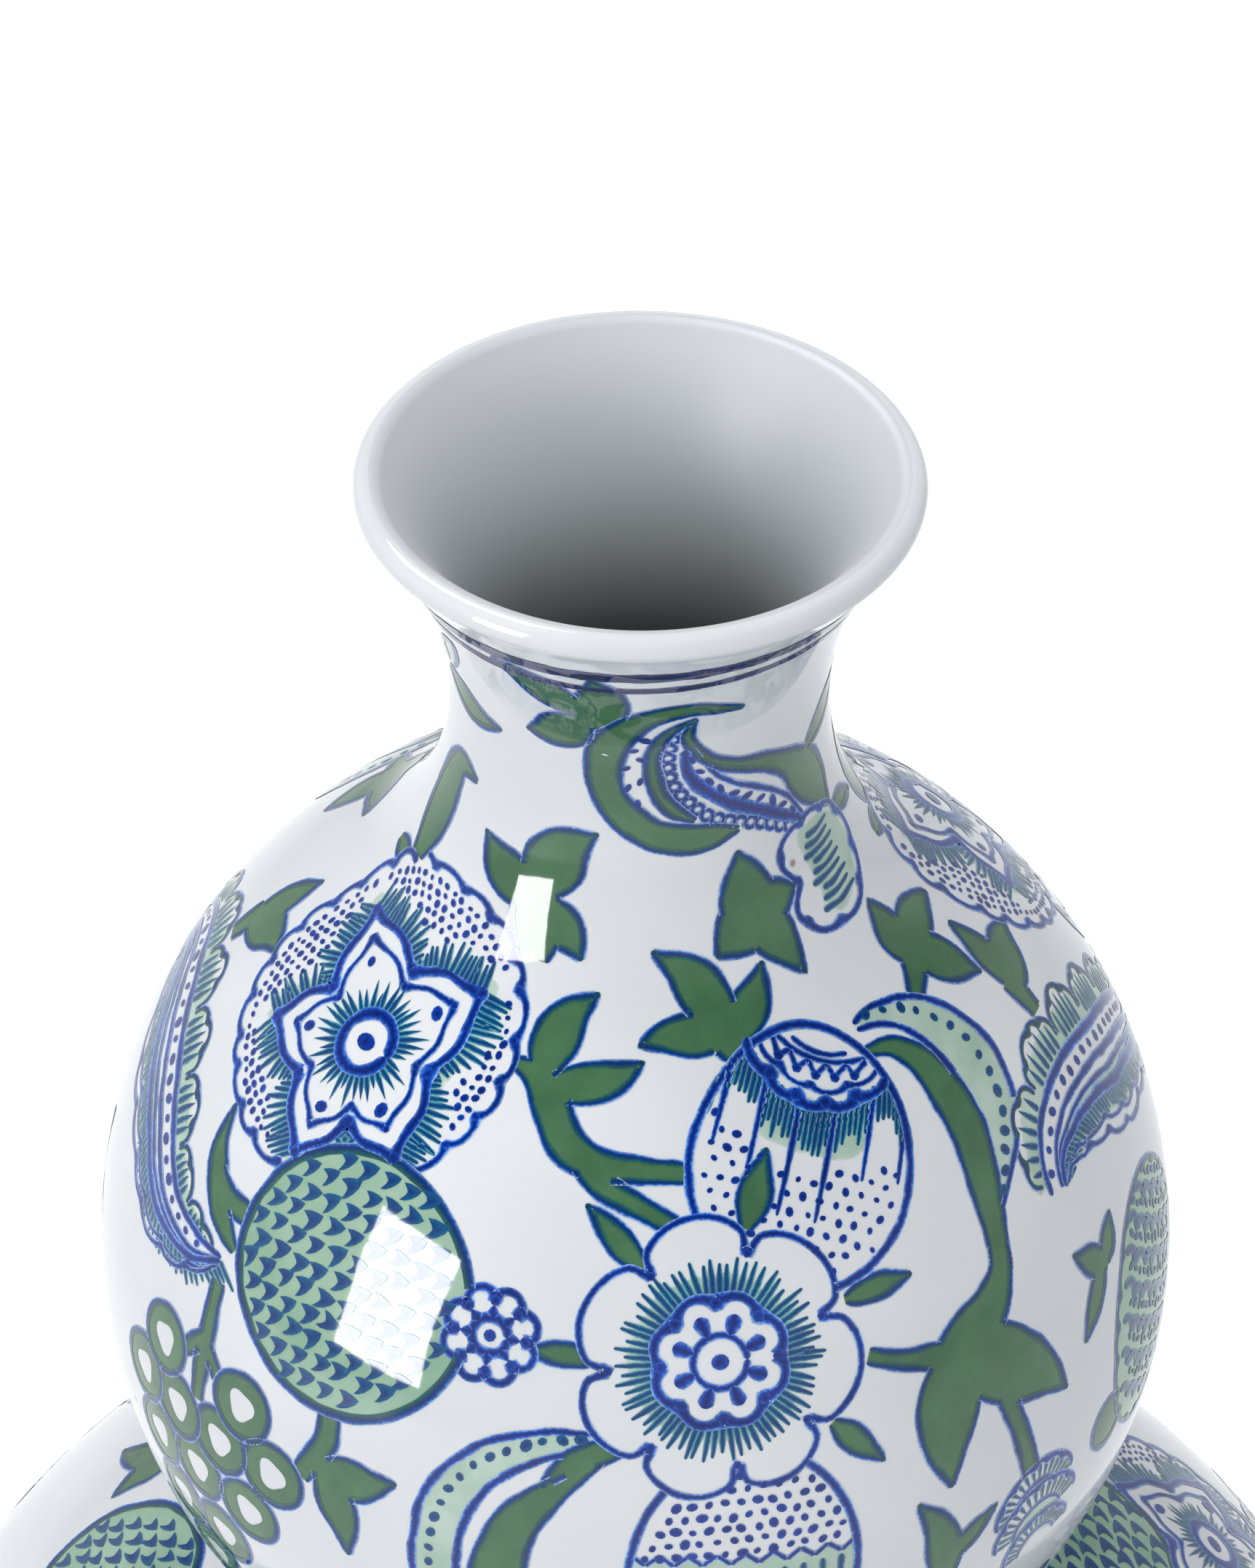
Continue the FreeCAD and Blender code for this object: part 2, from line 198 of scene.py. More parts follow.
def spoke(centre, angle, near, far, facing):
    """A luting face: the straight line across the wall at one angle of an arc."""
    ray = np.array([math.cos(angle), math.sin(angle)])
    return line_run(np.array(centre) + near * ray, np.array(centre) + far * ray, facing)


def across(angle, sense):
    """The direction square to a spoke, up or down the profile."""
    return (-sense * math.sin(angle), sense * math.cos(angle))


def wall_section(name, centre, outside, first, last, hollow=False):
    """A stretch of wall between two spokes; hollow means that its centre lies outside it."""
    sense = -1 if hollow else 1
    inside = outside - sense * WALL
    climb = 1 if last > first else -1
    return turn(name, [
        arc_run(centre, outside, first, last, sense),
        spoke(centre, last, outside, inside, across(last, climb)),
        arc_run(centre, inside, last, first, -sense, INNER_STEP),
        spoke(centre, first, inside, outside, across(first, -climb)),
    ])


belly_end = bearing(belly, waist)
upper_start = bearing(upper, waist)
upper_end = bearing(upper, shoulder)
lip_angle = bearing(flare, lip)
rim_low = lip[1] - RIM_BAND - flare[1]
rim_angle = math.pi - math.atan2(rim_low, rise(FLARE_ARC, rim_low))


def make_foot():
    lean = math.atan2(FOOT_TAPER, FOOT_HEIGHT)
    slope = FOOT_TAPER / FOOT_HEIGHT
    lift = FOOT_EDGE + FOOT_EDGE * math.sin(lean)
    inner = FOOT_RADIUS - FOOT_WIDTH
    set_in = slope * (FOOT_HEIGHT - lift) + FOOT_EDGE * math.cos(lean)
    round_out, round_in = (FOOT_RADIUS - set_in, FOOT_EDGE), (inner + set_in, FOOT_EDGE)
    turn_out = arc_run(round_out, FOOT_EDGE, -lean, -math.pi / 2, step=0.3)
    turn_in = arc_run(round_in, FOOT_EDGE, 3 * math.pi / 2, math.pi + lean, step=0.3)
    side_out, side_in = turn_out[0][0], turn_in[0][-1]
    down = [
        line_run((inner, FOOT_HEIGHT), (FOOT_RADIUS, FOOT_HEIGHT), (0, 1)),
        line_run((FOOT_RADIUS, FOOT_HEIGHT), side_out, (math.cos(lean), -math.sin(lean))),
        turn_out,
        line_run(turn_out[0][-1], turn_in[0][0], (0, -1)),
        turn_in,
        line_run(side_in, (inner, FOOT_HEIGHT), (-math.cos(lean), -math.sin(lean))),
    ]
    # an outline goes up the outside, so that the faces look out
    up = [(points[::-1], facings[::-1]) for points, facings in reversed(down)]
    return turn("foot_ring_bare", up)


def make_lower_base():
    floor = FOOT_HEIGHT + FLOOR
    inside = BELLY_ARC - WALL
    floor_edge = (BELLY_OFFSET + rise(inside, belly[1] - floor), floor)
    foot_angle = bearing(belly, (FOOT_RADIUS, FOOT_HEIGHT))
    return turn("lower_gourd_base_glazed", [
        line_run((0, FOOT_HEIGHT), (FOOT_RADIUS, FOOT_HEIGHT), (0, -1)),
        arc_run(belly, BELLY_ARC, foot_angle, 0),
        spoke(belly, 0, BELLY_ARC, inside, (0, 1)),
        arc_run(belly, inside, 0, bearing(belly, floor_edge), -1, INNER_STEP),
        line_run(floor_edge, (0, floor), (0, 1)),
    ])


def make_neck():
    fillet_angle = bearing(shoulder, upper) + 2 * math.pi
    thick = SHOULDER_FILLET + WALL
    inside = THROAT_RADIUS - WALL
    return turn("neck_glazed", [
        arc_run(shoulder, SHOULDER_FILLET, fillet_angle, math.pi, -1, 0.8),
        line_run((THROAT_RADIUS, shoulder[1]), (THROAT_RADIUS, flare[1]), (1, 0)),
        arc_run(flare, FLARE_ARC, math.pi, rim_angle, -1, 1.5),
        spoke(flare, rim_angle, FLARE_ARC, FLARE_ARC + WALL, across(rim_angle, -1)),
        arc_run(flare, FLARE_ARC + WALL, rim_angle, math.pi, 1, 1.5),
        line_run((inside, flare[1]), (inside, shoulder[1]), (-1, 0)),
        arc_run(shoulder, thick, math.pi, fillet_angle, 1, 1.0),
        spoke(shoulder, fillet_angle, thick, SHOULDER_FILLET, across(fillet_angle, 1)),
    ])


def make_rim():
    return turn("mouth_rim_glazed", [
        arc_run(flare, FLARE_ARC, rim_angle, lip_angle, -1, 1.0),
        arc_run(lip, WALL / 2, lip_angle - math.pi, lip_angle, 1, 0.4),
        arc_run(flare, FLARE_ARC + WALL, lip_angle, rim_angle, 1, 1.0),
        spoke(flare, rim_angle, FLARE_ARC + WALL, FLARE_ARC, across(rim_angle, 1)),
    ])


sections = {
    "foot_ring": make_foot(),
    "lower_gourd_base": make_lower_base(),
    "lower_gourd_top": wall_section("lower_gourd_top_glazed", belly, BELLY_ARC, 0, belly_end),
    "waist_collar": wall_section("waist_collar_glazed", waist, WAIST_FILLET, belly_end + math.pi,
                                 upper_start + math.pi, True),
    "upper_gourd_base": wall_section("upper_gourd_base_glazed", upper, UPPER_RADIUS, upper_start, 0),
    "upper_gourd_top": wall_section("upper_gourd_top_glazed", upper, UPPER_RADIUS, 0, upper_end),
    "neck": make_neck(),
    "mouth_rim": make_rim(),
}
for node, piece in sections.items():
    low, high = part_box(node)
    top = max(v.co.z for v in piece.data.vertices)
    print(node, "faces", len(piece.data.polygons), "top off the frame by mm",
          round((top - high.z) / MM, 3))


# %% [markdown]
# ## Porcelain and its paints
#
# Everything but the foot lies under one clear glaze, so all the finishes share its gloss and
# its faint swell, and only the colour below it differs. The glaze is an ordinary dielectric:
# its IOR is that of a feldspar glass, and it is smooth enough to show a lamp as an oblong
# with a clean edge.
# - The body is white porcelain, a little cool, with here and there an iron speck.
# - The line is cobalt oxide, painted on the raw body: it sinks in, nearly black where the
#   brush was full, and bleeds pale blue at its edge.
# - The greens are enamel: thick on leaves, with a darker rim where it pooled, and thinned to
#   a pale wash on flowers and fruit. Where line and green meet, the eye sees teal.
# One function adds a node with its settings and links. Colours are written as sRGB, and one
# function turns them to linear light.

# %% Node helper and colours
def linear(hex_colour):
    """An sRGB hex colour as linear red, green, blue and full alpha."""
    channels = [int(hex_colour[i:i + 2], 16) / 255 for i in (1, 3, 5)]
    return [c / 12.92 if c <= 0.04045 else ((c + 0.055) / 1.055) ** 2.4 for c in channels] + [1]


def add(tree, kind, settings=None, stops=(), **links):
    """Adds a node, sets its properties, sockets and colour stops, and links what feeds it."""
    node = tree.nodes.new(kind)
    for name, value in (settings or {}).items():
        if isinstance(value, str) and value.startswith("#"):
            value = linear(value)
        if isinstance(name, int) or name in node.inputs:
            node.inputs[name].default_value = value
        else:
            setattr(node, name, value)
    marks = node.color_ramp.elements if stops else ()
    while len(marks) < len(stops):
        marks.new(0.5)
    for mark, (position, colour) in zip(marks, stops):
        mark.position, mark.color = position, linear(colour)
    for name, source in links.items():
        socket = int(name[1:]) if name[1:].isdigit() else name.replace("_", " ")
        tree.links.new(source, node.inputs[socket])
    return node


def per_metre(millimetres):
    """Texture scale for a feature of this size: object coordinates are in metres."""
    return 1 / (millimetres * MM)


def patches(tree, where, size_mm):
    """Soft patches of about this size, from 0 to 1."""
    cloud = add(tree, "ShaderNodeTexNoise", {"Scale": per_metre(size_mm), "Detail": 3.0}, Vector=where)
    return add(tree, "ShaderNodeMapRange", {1: 0.35, 2: 0.65}, Value=cloud.outputs["Fac"]).outputs[0]


def relief(tree, where, form, **links):
    """Shallow relief; its form is its features' size in mm and detail, its strength and depth in m."""
    size_mm, detail, strength, depth = form
    waves = add(tree, "ShaderNodeTexNoise", {"Scale": per_metre(size_mm), "Detail": detail}, Vector=where)
    return add(tree, "ShaderNodeBump", {"Strength": strength, "Distance": depth},
               Height=waves.outputs["Fac"], **links).outputs["Normal"]


def coating(name, paint, reliefs, **settings):
    """A finish: paint adds the nodes of its colour, and each relief lies on the one before."""
    material = bpy.data.materials.new(name)
    material.use_nodes = True
    tree = material.node_tree
    tree.nodes.clear()
    where = add(tree, "ShaderNodeTexCoord").outputs["Object"]
    colour = paint(tree, where)
    skin = {}
    for form in reliefs:
        skin = {"Normal": relief(tree, where, form, **skin)}
    shader = add(tree, "ShaderNodeBsdfPrincipled", settings, Base_Color=colour, **skin)
    add(tree, "ShaderNodeOutputMaterial", Surface=shader.outputs["BSDF"])
    return material


print("middle grey in linear light:", round(linear("#808080")[0], 3))


# %% Clear glaze over white porcelain
GLAZE_IOR = 1.52
GLAZE_ROUGHNESS = 0.045
# the pull of molten glaze is too shallow to see, but it bends a reflection's edge
SWELL = (26.0, 1.0, 0.5, 0.0005)
PEEL = (2.6, 1.0, 0.2, 0.00003)
SPECK_SPACING_MM = 30.0
SPECK_SHARE = 0.014
SPECK_DEPTH = 0.7


def glazed(name, paint, roughness=GLAZE_ROUGHNESS):
    return coating(name, paint, (SWELL, PEEL), IOR=GLAZE_IOR, Roughness=roughness)


def white_body(tree, where):
    drift = add(tree, "ShaderNodeMix", {"data_type": "RGBA", 6: "#e3e6ea", 7: "#eceef0"},
                _0=patches(tree, where, 60.0))
    grains = add(tree, "ShaderNodeTexVoronoi", {"Scale": per_metre(SPECK_SPACING_MM)}, Vector=where)
    iron = add(tree, "ShaderNodeMapRange", {1: SPECK_SHARE, 2: 2 * SPECK_SHARE, 3: SPECK_DEPTH, 4: 0.0},
               Value=grains.outputs["Distance"])
    return add(tree, "ShaderNodeMix", {"data_type": "RGBA", 7: "#7b5238"}, _0=iron.outputs[0],
               _6=drift.outputs[2]).outputs[2]


porcelain = glazed("white_porcelain_clear_glaze", white_body)
print("finish:", porcelain.name)


# %% Cobalt line and green enamel
BLEED_MM = 0.7


def mirrored(half):
    """The stops of a mark from its edge to its middle, and back to the other edge."""
    return half + [(1 - place, colour) for place, colour in reversed(half[:-1])]


def brushed(stops, ragged, patch_mm, second, depth):
    """The colour across a painted mark, with an uneven edge and patches of a second colour."""
    def paint(tree, where):
        across = add(tree, "ShaderNodeAttribute", {"attribute_name": "across"}).outputs["Fac"]
        fray = add(tree, "ShaderNodeTexNoise", {"Scale": per_metre(BLEED_MM), "Detail": 1.0}, Vector=where)
        shift = add(tree, "ShaderNodeMapRange", {1: 0.25, 2: 0.75, 3: -ragged, 4: ragged},
                    Value=fray.outputs["Fac"])
        moved = add(tree, "ShaderNodeMath", {"operation": "ADD"}, _0=across, _1=shift.outputs[0])
        colour = add(tree, "ShaderNodeValToRGB", {}, stops, Fac=moved.outputs[0])
        share = add(tree, "ShaderNodeMath", {"operation": "MULTIPLY", 1: depth},
                    _0=patches(tree, where, patch_mm))
        return add(tree, "ShaderNodeMix", {"data_type": "RGBA", 7: second}, _0=share.outputs[0],
                   _6=colour.outputs["Color"]).outputs[2]
    return paint


# of each paint: the stops from the edge of a mark inwards, how ragged that edge is, and its
# patches: their size in mm, their colour and how strong they are
PAINTS = {
    "cobalt_line_on_white": (
        mirrored([(0.0, "#d6e3f4"), (0.1, "#96bbf0"), (0.2, "#3a7ade"), (0.31, "#0840ae"),
                  (0.5, "#021c6c")]), 0.07, 6.0, "#031c62", 0.5),
    "cobalt_line_by_leaf": (
        [(0.0, "#d9e4f2"), (0.1, "#9cbcea"), (0.2, "#3a76cc"), (0.31, "#0844a0"), (0.46, "#052d70"),
         (0.62, "#0c4a66"), (0.78, "#1f6060"), (1.0, "#487759")], 0.06, 6.0, "#082a60", 0.4),
    "cobalt_line_on_wash": (
        mirrored([(0.0, "#a8ccc4"), (0.14, "#3c98a6"), (0.28, "#08608e"), (0.5, "#042f72")]),
        0.06, 5.0, "#0b2f78", 0.5),
    "cobalt_line_turned_at_the_rim": (
        mirrored([(0.0, "#b4b9d8"), (0.12, "#4d559a"), (0.26, "#1c2158"), (0.5, "#12123a")]),
        0.08, 14.0, "#262c70", 0.4),
    "green_enamel": (
        [(0.0, "#86a27c"), (0.16, "#4e784c"), (0.55, "#48734f"), (1.0, "#4f7b56")],
        0.25, 8.0, "#40694a", 0.75),
    "thinned_green_wash": (
        [(0.0, "#d6e2dc"), (0.35, "#b2cbb8"), (1.0, "#a8c6b2")], 0.3, 9.0, "#cfdfd6", 0.7),
    "fuller_green_wash": (
        [(0.0, "#9fbda4"), (0.3, "#86ad92"), (1.0, "#8db399")], 0.3, 12.0, "#b0ccb8", 0.6),
}
*line_paints, green, green_wash, fruit_wash = [
    glazed(name, brushed(*values)) for name, values in PAINTS.items()]
print("paints:", len(PAINTS), "of them lines:", len(line_paints))


# %% Inside glaze, with painted shade
INSIDE_ROUGHNESS = 0.5
# heights above the floor, in metres, and the colour there: painted shade, darker towards the bottom of the
# inside
INSIDE_PAINTED_SHADE = [(0.31, "#040505"), (0.347, "#1e2120"), (0.37, "#6f7475"), (0.394, "#b8bdc0"),
                (0.412, "#d4d7da")]


def inside_painted_shade_colour(tree, where):
    """Inside glaze with painted shade: white at the lip, then darker, to near black, the deeper it lies."""
    low, high = INSIDE_PAINTED_SHADE[0][0], INSIDE_PAINTED_SHADE[-1][0]
    height = add(tree, "ShaderNodeSeparateXYZ", Vector=where).outputs["Z"]
    share = add(tree, "ShaderNodeMapRange", {1: low, 2: high}, Value=height)
    stops = [((level - low) / (high - low), colour) for level, colour in INSIDE_PAINTED_SHADE]
    return add(tree, "ShaderNodeValToRGB", {}, stops, Fac=share.outputs[0]).outputs["Color"]


# the inside of the vase takes this painted shade, darker the deeper it lies
inside_glaze_with_painted_shade = glazed("inside_glaze_painted_shade", inside_painted_shade_colour, INSIDE_ROUGHNESS)
print("finish:", inside_glaze_with_painted_shade.name)


# %% [markdown]
# ### Bare porcelain
#
# The standing edge of the foot is wiped clean of glaze before the fire, or the vase would
# fuse to the kiln shelf. Fired bare it is matt and slightly warm, with a grain as fine as
# chalk, and it darkens where hands and shelves have rubbed it.

# %% Bare foot
CHALK = (0.8, 4.0, 0.4, 0.00005)
BARE_ROUGHNESS = 0.75


def bare_body(tree, where):
    return add(tree, "ShaderNodeMix", {"data_type": "RGBA", 6: "#cfc4b4", 7: "#e6dfd3"},
               _0=patches(tree, where, 12.0)).outputs[2]


bare = coating("bare_fired_porcelain", bare_body, (CHALK,), Roughness=BARE_ROUGHNESS)
for node, piece in sections.items():
    is_foot = node == "foot_ring"
    piece.data.materials.append(bare if is_foot else porcelain)
    piece.data.materials.append(inside_glaze_with_painted_shade)
    for face in piece.data.polygons:
        if face.normal.xy.dot(face.center.xy) < -1e-4 and not is_foot:
            face.material_index = 1
    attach(piece, "root")
    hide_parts(node)
print("sections glazed:", len(sections) - 1, "left bare: 1")


# %% [markdown]
# ## Floor, world and lamps
#
# The vase stands on a white sweep. A floor that is only lit would come out grey or need so
# much light that the porcelain clips, so the floor keeps a plain diffuse white and shows the
# camera a little light of its own on top: it reads white, and the shadow still darkens it.
# Mirror rays see the same white, so the glaze reflects the room that the eye sees.
# The lamps are soft boxes, and a glossy wall shows a tall one as a bright oblong. So their
# place and shape are chosen from the reflections: one low in front on the left, one high
# behind on the left, and a wide one overhead that gives the even light. The two tall ones
# are windows, many times brighter than the soft light that they spread. So each has a twin
# that only the glaze's reflections see.

# %% Floor
FLOOR_HALF_WIDTH = 4.0
SWEEP_WHITE = "#f4f5f6"
SWEEP_GLOW = 0.42


def seen_by_eye(tree):
    """1 for what the eye sees, also in a mirror or through glass, and 0 for the light it gives."""
    path = add(tree, "ShaderNodeLightPath")
    seen = path.outputs["Is Camera Ray"]
    for ray in ("Is Glossy Ray", "Is Transmission Ray"):
        seen = add(tree, "ShaderNodeMath", {"operation": "MAXIMUM"}, _0=seen,
                   _1=path.outputs[ray]).outputs[0]
    return seen


floor_mesh = bpy.data.meshes.new("floor")
w = FLOOR_HALF_WIDTH
floor_mesh.from_pydata([(-w, -w, 0), (w, -w, 0), (w, w, 0), (-w, w, 0)], [], [(0, 1, 2, 3)])
put("floor", floor_mesh)

paper = bpy.data.materials.new("matt_white_paper_sweep")
paper.use_nodes = True
tree = paper.node_tree
tree.nodes.clear()
matt = add(tree, "ShaderNodeBsdfDiffuse", {"Color": SWEEP_WHITE})
strength = add(tree, "ShaderNodeMath", {"operation": "MULTIPLY", 1: SWEEP_GLOW}, _0=seen_by_eye(tree))
glow = add(tree, "ShaderNodeEmission", {"Color": SWEEP_WHITE}, Strength=strength.outputs[0])
both = add(tree, "ShaderNodeAddShader", _0=matt.outputs[0], _1=glow.outputs[0])
add(tree, "ShaderNodeOutputMaterial", Surface=both.outputs[0])
floor_mesh.materials.append(paper)
print("floor, metres across:", 2 * FLOOR_HALF_WIDTH)

# %% World
ROOM_LIGHT = 0.38
# the backdrop is white near the floor and runs up into a dim ceiling
BACKDROP_TOP, CEILING = 0.2, 0.62
BACKDROP_WHITE, CEILING_WHITE = 0.85, 0.12

world = bpy.data.worlds.new("white_room")
bpy.context.scene.world = world
world.use_nodes = True
tree = world.node_tree
tree.nodes.clear()
room = add(tree, "ShaderNodeBackground", {"Color": "#e8edf2", "Strength": ROOM_LIGHT})
direction = add(tree, "ShaderNodeTexCoord").outputs["Generated"]
up = add(tree, "ShaderNodeSeparateXYZ", Vector=direction).outputs["Z"]
fade = add(tree, "ShaderNodeMapRange",
           {1: BACKDROP_TOP, 2: CEILING, 3: BACKDROP_WHITE, 4: CEILING_WHITE}, Value=up)
white = add(tree, "ShaderNodeBackground", {"Color": "#fbfcfd"}, Strength=fade.outputs[0])
mixed = add(tree, "ShaderNodeMixShader", _0=seen_by_eye(tree), _1=room.outputs[0], _2=white.outputs[0])
add(tree, "ShaderNodeOutputWorld", Surface=mixed.outputs[0])
print("world:", world.name)


# %% Lamps
GLINT_NEARER = 0.02
gourd_centre = Vector((0, 0, upper[1] * MM))


def softbox(name, azimuth, elevation, distance, width, height, watts):
    """An oblong lamp aimed at the upper gourd; azimuth 0 is the viewer's side and 90 the right."""
    a, e = math.radians(azimuth), math.radians(elevation)
    away = Vector((math.sin(a) * math.cos(e), -math.cos(a) * math.cos(e), math.sin(e)))
    light = bpy.data.lights.new(name, "AREA")
    light.shape = "RECTANGLE"
    light.size, light.size_y, light.energy = width, height, watts
    lamp = put(name, light)
    lamp.location = gourd_centre + away * distance
    lamp.rotation_mode = "QUATERNION"
    lamp.rotation_quaternion = away.to_track_quat("Z", "Y")
    lamp.visible_glossy = False
    return lamp


def add_glint(lamp, times):
    """Stronger light from the same place for reflections: a window is brighter than its wash."""
    glint = lamp.copy()
    glint.visible_glossy = True
    # a little nearer, so that the plain lamp doesn't hide it
    glint.location = lamp.location.lerp(gourd_centre, GLINT_NEARER)
    glint.data = lamp.data.copy()
    glint.data.energy *= times
    glint.visible_diffuse = False
    bpy.context.scene.collection.objects.link(glint)


front_window = softbox("window_front_left", -52, 12, 1.6, 0.54, 0.8, 6.0)
back_window = softbox("window_back_left", -132, 60, 1.6, 0.45, 0.8, 6.5)
softbox("overhead", 5, 66, 2.2, 2.4, 2.4, 28)
add_glint(front_window, 4.4)
add_glint(back_window, 2.8)
print("lamps:", len(bpy.data.lights))

# %% [markdown]
# ## Camera
#
# The photograph looks down on the vase from a little over a metre away with a long lens.
# The numbers that place it were fitted to the outline of the mouth, the neck and the upper
# gourd: how far back and how high it stands, how far it tips down, and a trace of lean.

# %% Camera
CAMERA_BACK = 1.00533
CAMERA_HEIGHT = 1.14718
CAMERA_PITCH = 38.209
CAMERA_ROLL = 0.3
CAMERA_ASIDE = -0.00168
FOCAL_PIXELS = 11500
PHOTO_HEIGHT_PIXELS = 2156
SENSOR = 36.0

lens = bpy.data.cameras.new("camera")
lens.sensor_width = SENSOR
lens.lens = SENSOR * FOCAL_PIXELS / PHOTO_HEIGHT_PIXELS
camera = put("camera", lens)
camera.location = (CAMERA_ASIDE, -CAMERA_BACK, CAMERA_HEIGHT)
camera.rotation_euler = (math.radians(90 - CAMERA_PITCH), 0, 0)
camera.rotation_euler.rotate_axis("Z", math.radians(CAMERA_ROLL))
bpy.context.scene.camera = camera
bpy.context.scene.view_settings.view_transform = "Standard"
print("lens, mm:", round(lens.lens, 1))


# %% [markdown]
# ## A map of the outside
#
# A painter sees the wall, not x, y and z. So each place on the outside has two numbers: the
# angle round the vase in degrees, 0 towards the viewer and growing to the right, and the
# height in millimetres that a tape laid up the wall from the foot would read. The same
# chain of arcs gives both directions: from the map to the wall, and from a point near the
# wall back to the map.

# %% Stretches of the outside
class Arc:
    """A stretch that is an arc; sense is -1 where its centre lies outside the vase."""

    def __init__(self, centre, radius, first, last, sense):
        self.centre, self.radius, self.sense = centre, radius, sense
        self.first, self.last, self.bend = first, last, radius
        self.length = radius * abs(last - first)

    def at(self, run):
        angle = self.first + (self.last - self.first) * run / self.length
        c, s = np.cos(angle), np.sin(angle)
        r, z = self.centre[0] + self.radius * c, self.centre[1] + self.radius * s
        return r, z, self.sense * c, self.sense * s

    def nearest(self, r, z):
        middle = (self.first + self.last) / 2
        angle = np.arctan2(z - self.centre[1], r - self.centre[0])
        angle = middle + (angle - middle + math.pi) % (2 * math.pi) - math.pi
        return np.clip((angle - self.first) / (self.last - self.first), 0, 1) * self.length


class Riser:
    """The straight, upright stretch of the throat."""

    bend = 1e4

    def __init__(self, radius, low, high):
        self.radius, self.low, self.length = radius, low, high - low

    def at(self, run):
        return np.full_like(run, self.radius), self.low + run, np.ones_like(run), 0 * run

    def nearest(self, r, z):
        return np.clip(z - self.low, 0, self.length)


outside = [
    Arc(belly, BELLY_ARC, bearing(belly, (FOOT_RADIUS, FOOT_HEIGHT)), belly_end, 1),
    Arc(waist, WAIST_FILLET, belly_end + math.pi, upper_start + math.pi, -1),
    Arc(upper, UPPER_RADIUS, upper_start, upper_end, 1),
    Arc(shoulder, SHOULDER_FILLET, upper_end + math.pi, math.pi, -1),
    Riser(THROAT_RADIUS, shoulder[1], flare[1]),
    Arc(flare, FLARE_ARC, math.pi, lip_angle, -1),
]
tape_marks = np.cumsum([0] + [stretch.length for stretch in outside])
print("tape readings where the stretches meet, mm:", tape_marks.round(1).tolist())


def wall(theta, s):
    """The points of the wall at places on the map, and the way the wall faces there."""
    theta, s = np.radians(np.asarray(theta, float)), np.asarray(s, float)
    rows = np.empty((4, len(s)))
    part = np.clip(np.searchsorted(tape_marks, s, side="right") - 1, 0, len(outside) - 1)
    for k, stretch in enumerate(outside):
        here = part == k
        rows[:, here] = stretch.at(s[here] - tape_marks[k])
    r, z, face_r, face_z = rows
    c, d = np.sin(theta), -np.cos(theta)
    return np.stack([r * c, r * d, z], 1), np.stack([face_r * c, face_r * d, face_z], 1)


def read_tape(points, among):
    """The places on the map of points that lie near these stretches of the wall."""
    r, z = np.hypot(points[:, 0], points[:, 1]), points[:, 2]
    theta = np.degrees(np.arctan2(points[:, 0], -points[:, 1]))
    least, reading = np.full(len(r), np.inf), np.zeros(len(r))
    for start, stretch in list(zip(tape_marks, outside))[slice(*among)]:
        run = stretch.nearest(r, z)
        near_r, near_z = stretch.at(run)[:2]
        off = np.hypot(near_r - r, near_z - z)
        closer = off < least
        least[closer], reading[closer] = off[closer], start + run[closer]
    return theta, reading


# %% [markdown]
# ## Patches
#
# A motif is drawn flat, in millimetres, and then pressed onto the wall, as a pounced paper
# pattern is. A patch is such a paper: it touches the wall at one point, with x to the right
# and y up, and can be turned. The tangent of each distance is taken first, so that lengths
# come out true on the round wall. Marks that run a long way round the narrow neck use a
# girdle instead, a strip that wraps it.

# %% Patch and girdle
# past this share of the wall's radius the paper would stand off it, so marks stop there
FLAT_LIMIT = 1.35
LEAST_BEND_MM = 40.0
STEEPEST = 0.2


class Patch:
    """A flat paper that touches the wall at one place; turn tips it anticlockwise."""

    def __init__(self, theta, s, turn=0.0):
        self.theta, self.s = theta, s
        (self.middle,), (self.out,) = wall([theta], [s])
        a = math.radians(theta)
        self.east = np.array([math.cos(a), math.sin(a), 0.0])
        self.north = np.cross(self.out, self.east)
        c, d = math.cos(math.radians(turn)), math.sin(math.radians(turn))
        self.spin = np.array([[c, d], [-d, c]])
        radius = np.hypot(*self.middle[:2])
        stretch = outside[max(k for k, mark in enumerate(tape_marks[:-1]) if s >= mark)]
        # a paper on one gourd never reaches the other
        self.among = (0, 2) if s < tape_marks[2] else (1, 6)
        self.bends = np.array([radius / max(STEEPEST, math.hypot(*self.out[:2])),
                               max(stretch.bend, LEAST_BEND_MM)])

    def spots(self, flat):
        """Places on the map where flat points land."""
        en = np.asarray(flat, float) @ self.spin
        en = np.tan(np.clip(en / self.bends, -FLAT_LIMIT, FLAT_LIMIT)) * self.bends
        return read_tape(self.middle + en[:, :1] * self.east + en[:, 1:] * self.north, self.among)

    def flat(self, theta, s):
        """Flat points of places on the map."""
        points, out = wall(theta, s)
        reach = ((self.middle - points) @ self.out) / np.maximum(out @ self.out, 0.05)
        off = points + reach[:, None] * out - self.middle
        en = np.stack([off @ self.east, off @ self.north], 1)
        return (np.arctan(en / self.bends) * self.bends) @ self.spin.T


class Girdle:
    """A strip wrapped round the vase at one height; x is measured round it from theta."""

    def __init__(self, theta, s):
        self.theta, self.s = theta, s
        (middle,), _ = wall([theta], [s])
        self.radius = np.hypot(*middle[:2])

    def spots(self, flat):
        flat = np.asarray(flat, float)
        return self.theta + np.degrees(flat[:, 0] / self.radius), self.s + flat[:, 1]

    def flat(self, theta, s):
        theta, s = np.asarray(theta, float), np.asarray(s, float)
        return np.stack([np.radians(theta - self.theta) * self.radius, s - self.s], 1)


print("radius under the upper gourd, mm:", round(Girdle(0, tape_marks[2]).radius, 1))


# %% [markdown]
# ## Paint
#
# Each finish on each part of the vase is one thin skin over the wall, a few hundredths of a
# millimetre proud, as real enamel is: wash lowest, then green, then the line, so that where
# they cross the line stays on top. The skin takes the wall's own facing as its normals, so
# the glaze reflects across a painted edge as if nothing was there.
# Each point also remembers how far across its mark it lies. The line's colour reads that:
# dark in the middle, where the brush laid most cobalt, and pale blue at the edge, where it
# has bled into the glaze.

